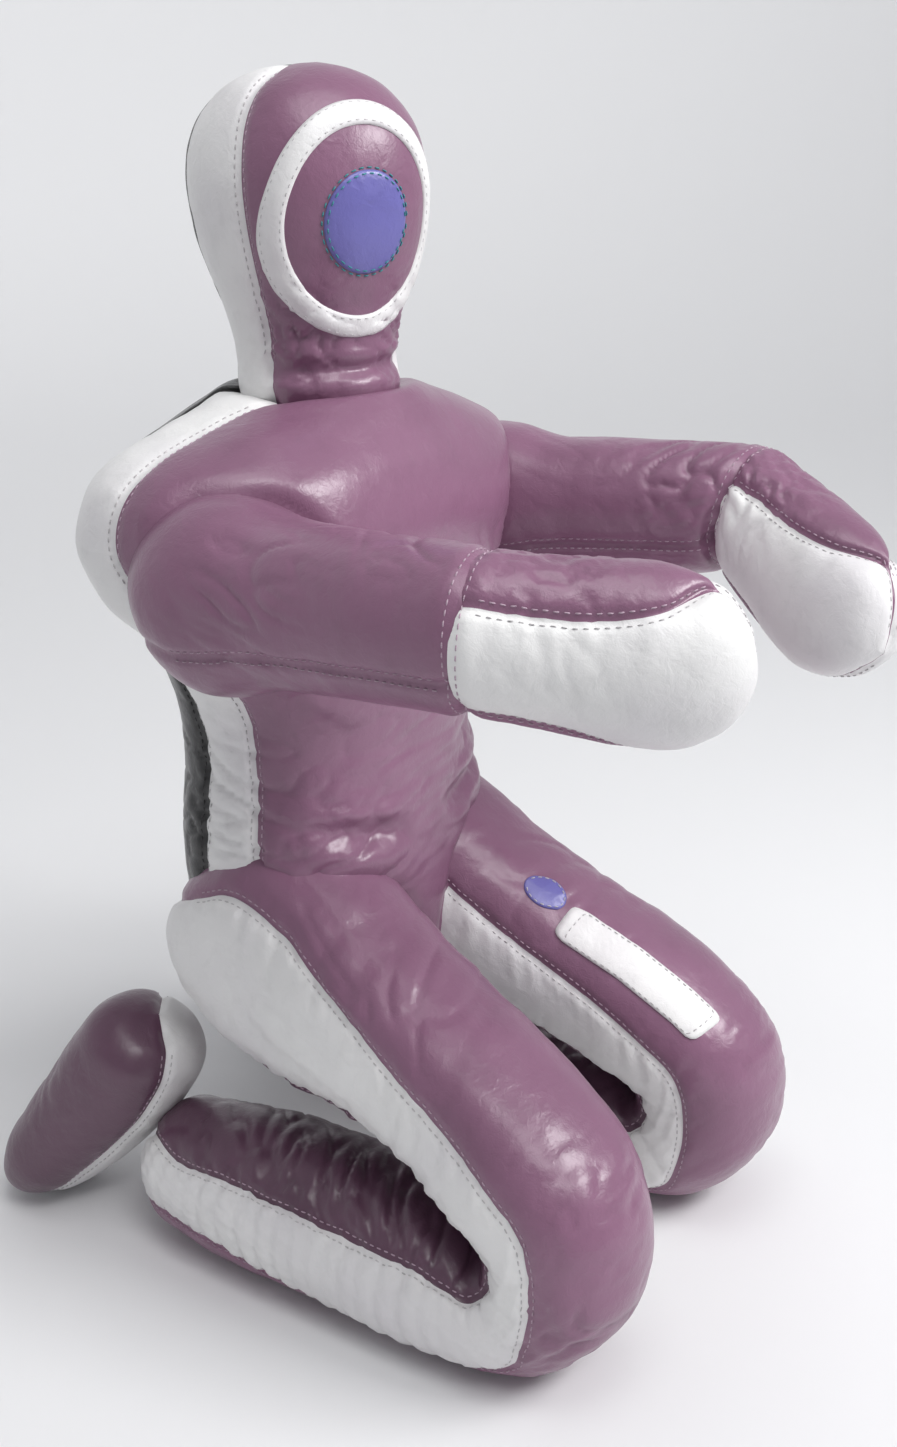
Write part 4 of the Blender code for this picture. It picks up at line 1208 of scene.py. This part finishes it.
def add_area(name, place, target, size, power, colour=(1, 1, 1)):
    light = bpy.data.lights.new(name, "AREA")
    light.shape = "RECTANGLE"
    light.size, light.size_y = size
    light.energy = power
    light.color = colour
    obj = bpy.data.objects.new(name, light)
    bpy.context.scene.collection.objects.link(obj)
    obj.location = place
    obj.rotation_mode = "QUATERNION"
    obj.rotation_quaternion = (Vector(target) - Vector(place)).to_track_quat("-Z", "Y")


def build_stage():
    """A floor that curves up into a wall all round, so that no horizon shows."""
    flat, wall, top = STAGE
    profile = [(0.0, 0.0), (flat, 0.0)]
    for degrees in range(6, 91, 6):
        angle = math.radians(degrees)
        profile.append((flat + (wall - flat) * math.sin(angle), (wall - flat) * (1 - math.cos(angle))))
    profile.append((wall, top))
    bm = bmesh.new()
    line = [bm.verts.new((radius, 0.0, z)) for radius, z in profile]
    edges = [bm.edges.new(pair) for pair in zip(line, line[1:])]
    bmesh.ops.spin(bm, geom=line + edges, axis=(0, 0, 1), cent=(0, 0, 0), angle=2 * math.pi, steps=96)
    bmesh.ops.remove_doubles(bm, verts=bm.verts, dist=0.001)
    bmesh.ops.recalc_face_normals(bm, faces=bm.faces)
    data = bpy.data.meshes.new("floor")
    bm.to_mesh(data)
    bm.free()
    data.shade_smooth()
    floor = bpy.data.objects.new("floor", data)
    bpy.context.scene.collection.objects.link(floor)
    made, _, shader = principled("floor")
    shader.inputs["Base Color"].default_value = (0.84, 0.84, 0.85, 1.0)
    shader.inputs["Roughness"].default_value = 0.9
    data.materials.append(made)


def build_studio():
    build_stage()
    world = bpy.data.worlds.new("studio")
    world.use_nodes = True
    background = world.node_tree.nodes["Background"]
    background.inputs["Color"].default_value = (0.95, 0.97, 1.0, 1.0)
    background.inputs["Strength"].default_value = 0.36
    bpy.context.scene.world = world
    sun = bpy.data.lights.new("sun", "SUN")
    sun.energy = 1.5
    sun.angle = math.radians(28.0)
    daylight = bpy.data.objects.new("sun", sun)
    bpy.context.scene.collection.objects.link(daylight)
    daylight.rotation_mode = "QUATERNION"
    daylight.rotation_quaternion = Vector((0.30, 0.60, -0.74)).to_track_quat("-Z", "Y")
    add_area("key", (0.7, -2.3, 2.3), (0.0, 0.0, 0.5), (1.3, 1.0), 62.0)
    add_area("top", (-0.5, -0.5, 2.9), (0.0, 0.0, 0.4), (1.4, 1.4), 16.0)
    bpy.context.scene.view_settings.view_transform = "Standard"


def build_camera():
    data = bpy.data.cameras.new("camera")
    data.lens = CAMERA_LENS
    data.sensor_width = 36.0
    camera = bpy.data.objects.new("camera", data)
    bpy.context.scene.collection.objects.link(camera)
    ahead = CAMERA_LOOK.normalized()
    right = ahead.cross(Vector((0, 0, 1))).normalized()
    up = right.cross(ahead)
    roll = math.radians(CAMERA_ROLL)
    rolled_right = right * math.cos(roll) + up * math.sin(roll)
    rolled_up = up * math.cos(roll) - right * math.sin(roll)
    turn = Matrix((rolled_right, rolled_up, -ahead)).transposed()
    camera.matrix_world = Matrix.Translation(CAMERA_PLACE) @ turn.to_4x4()
    bpy.context.scene.camera = camera


def main():
    looks = make_materials()
    build_studio()
    build_camera()
    build_torso(looks)
    build_zip(looks)
    build_head(looks)
    build_face(looks)
    legs = {}
    for label, side in SIDES.items():
        build_upper_arm(label, side, looks)
        build_mitt(label, side, looks)
        legs[label] = build_leg(label, side, looks)
        build_foot(label, side, looks)
    build_label(legs["L"], looks)


main()
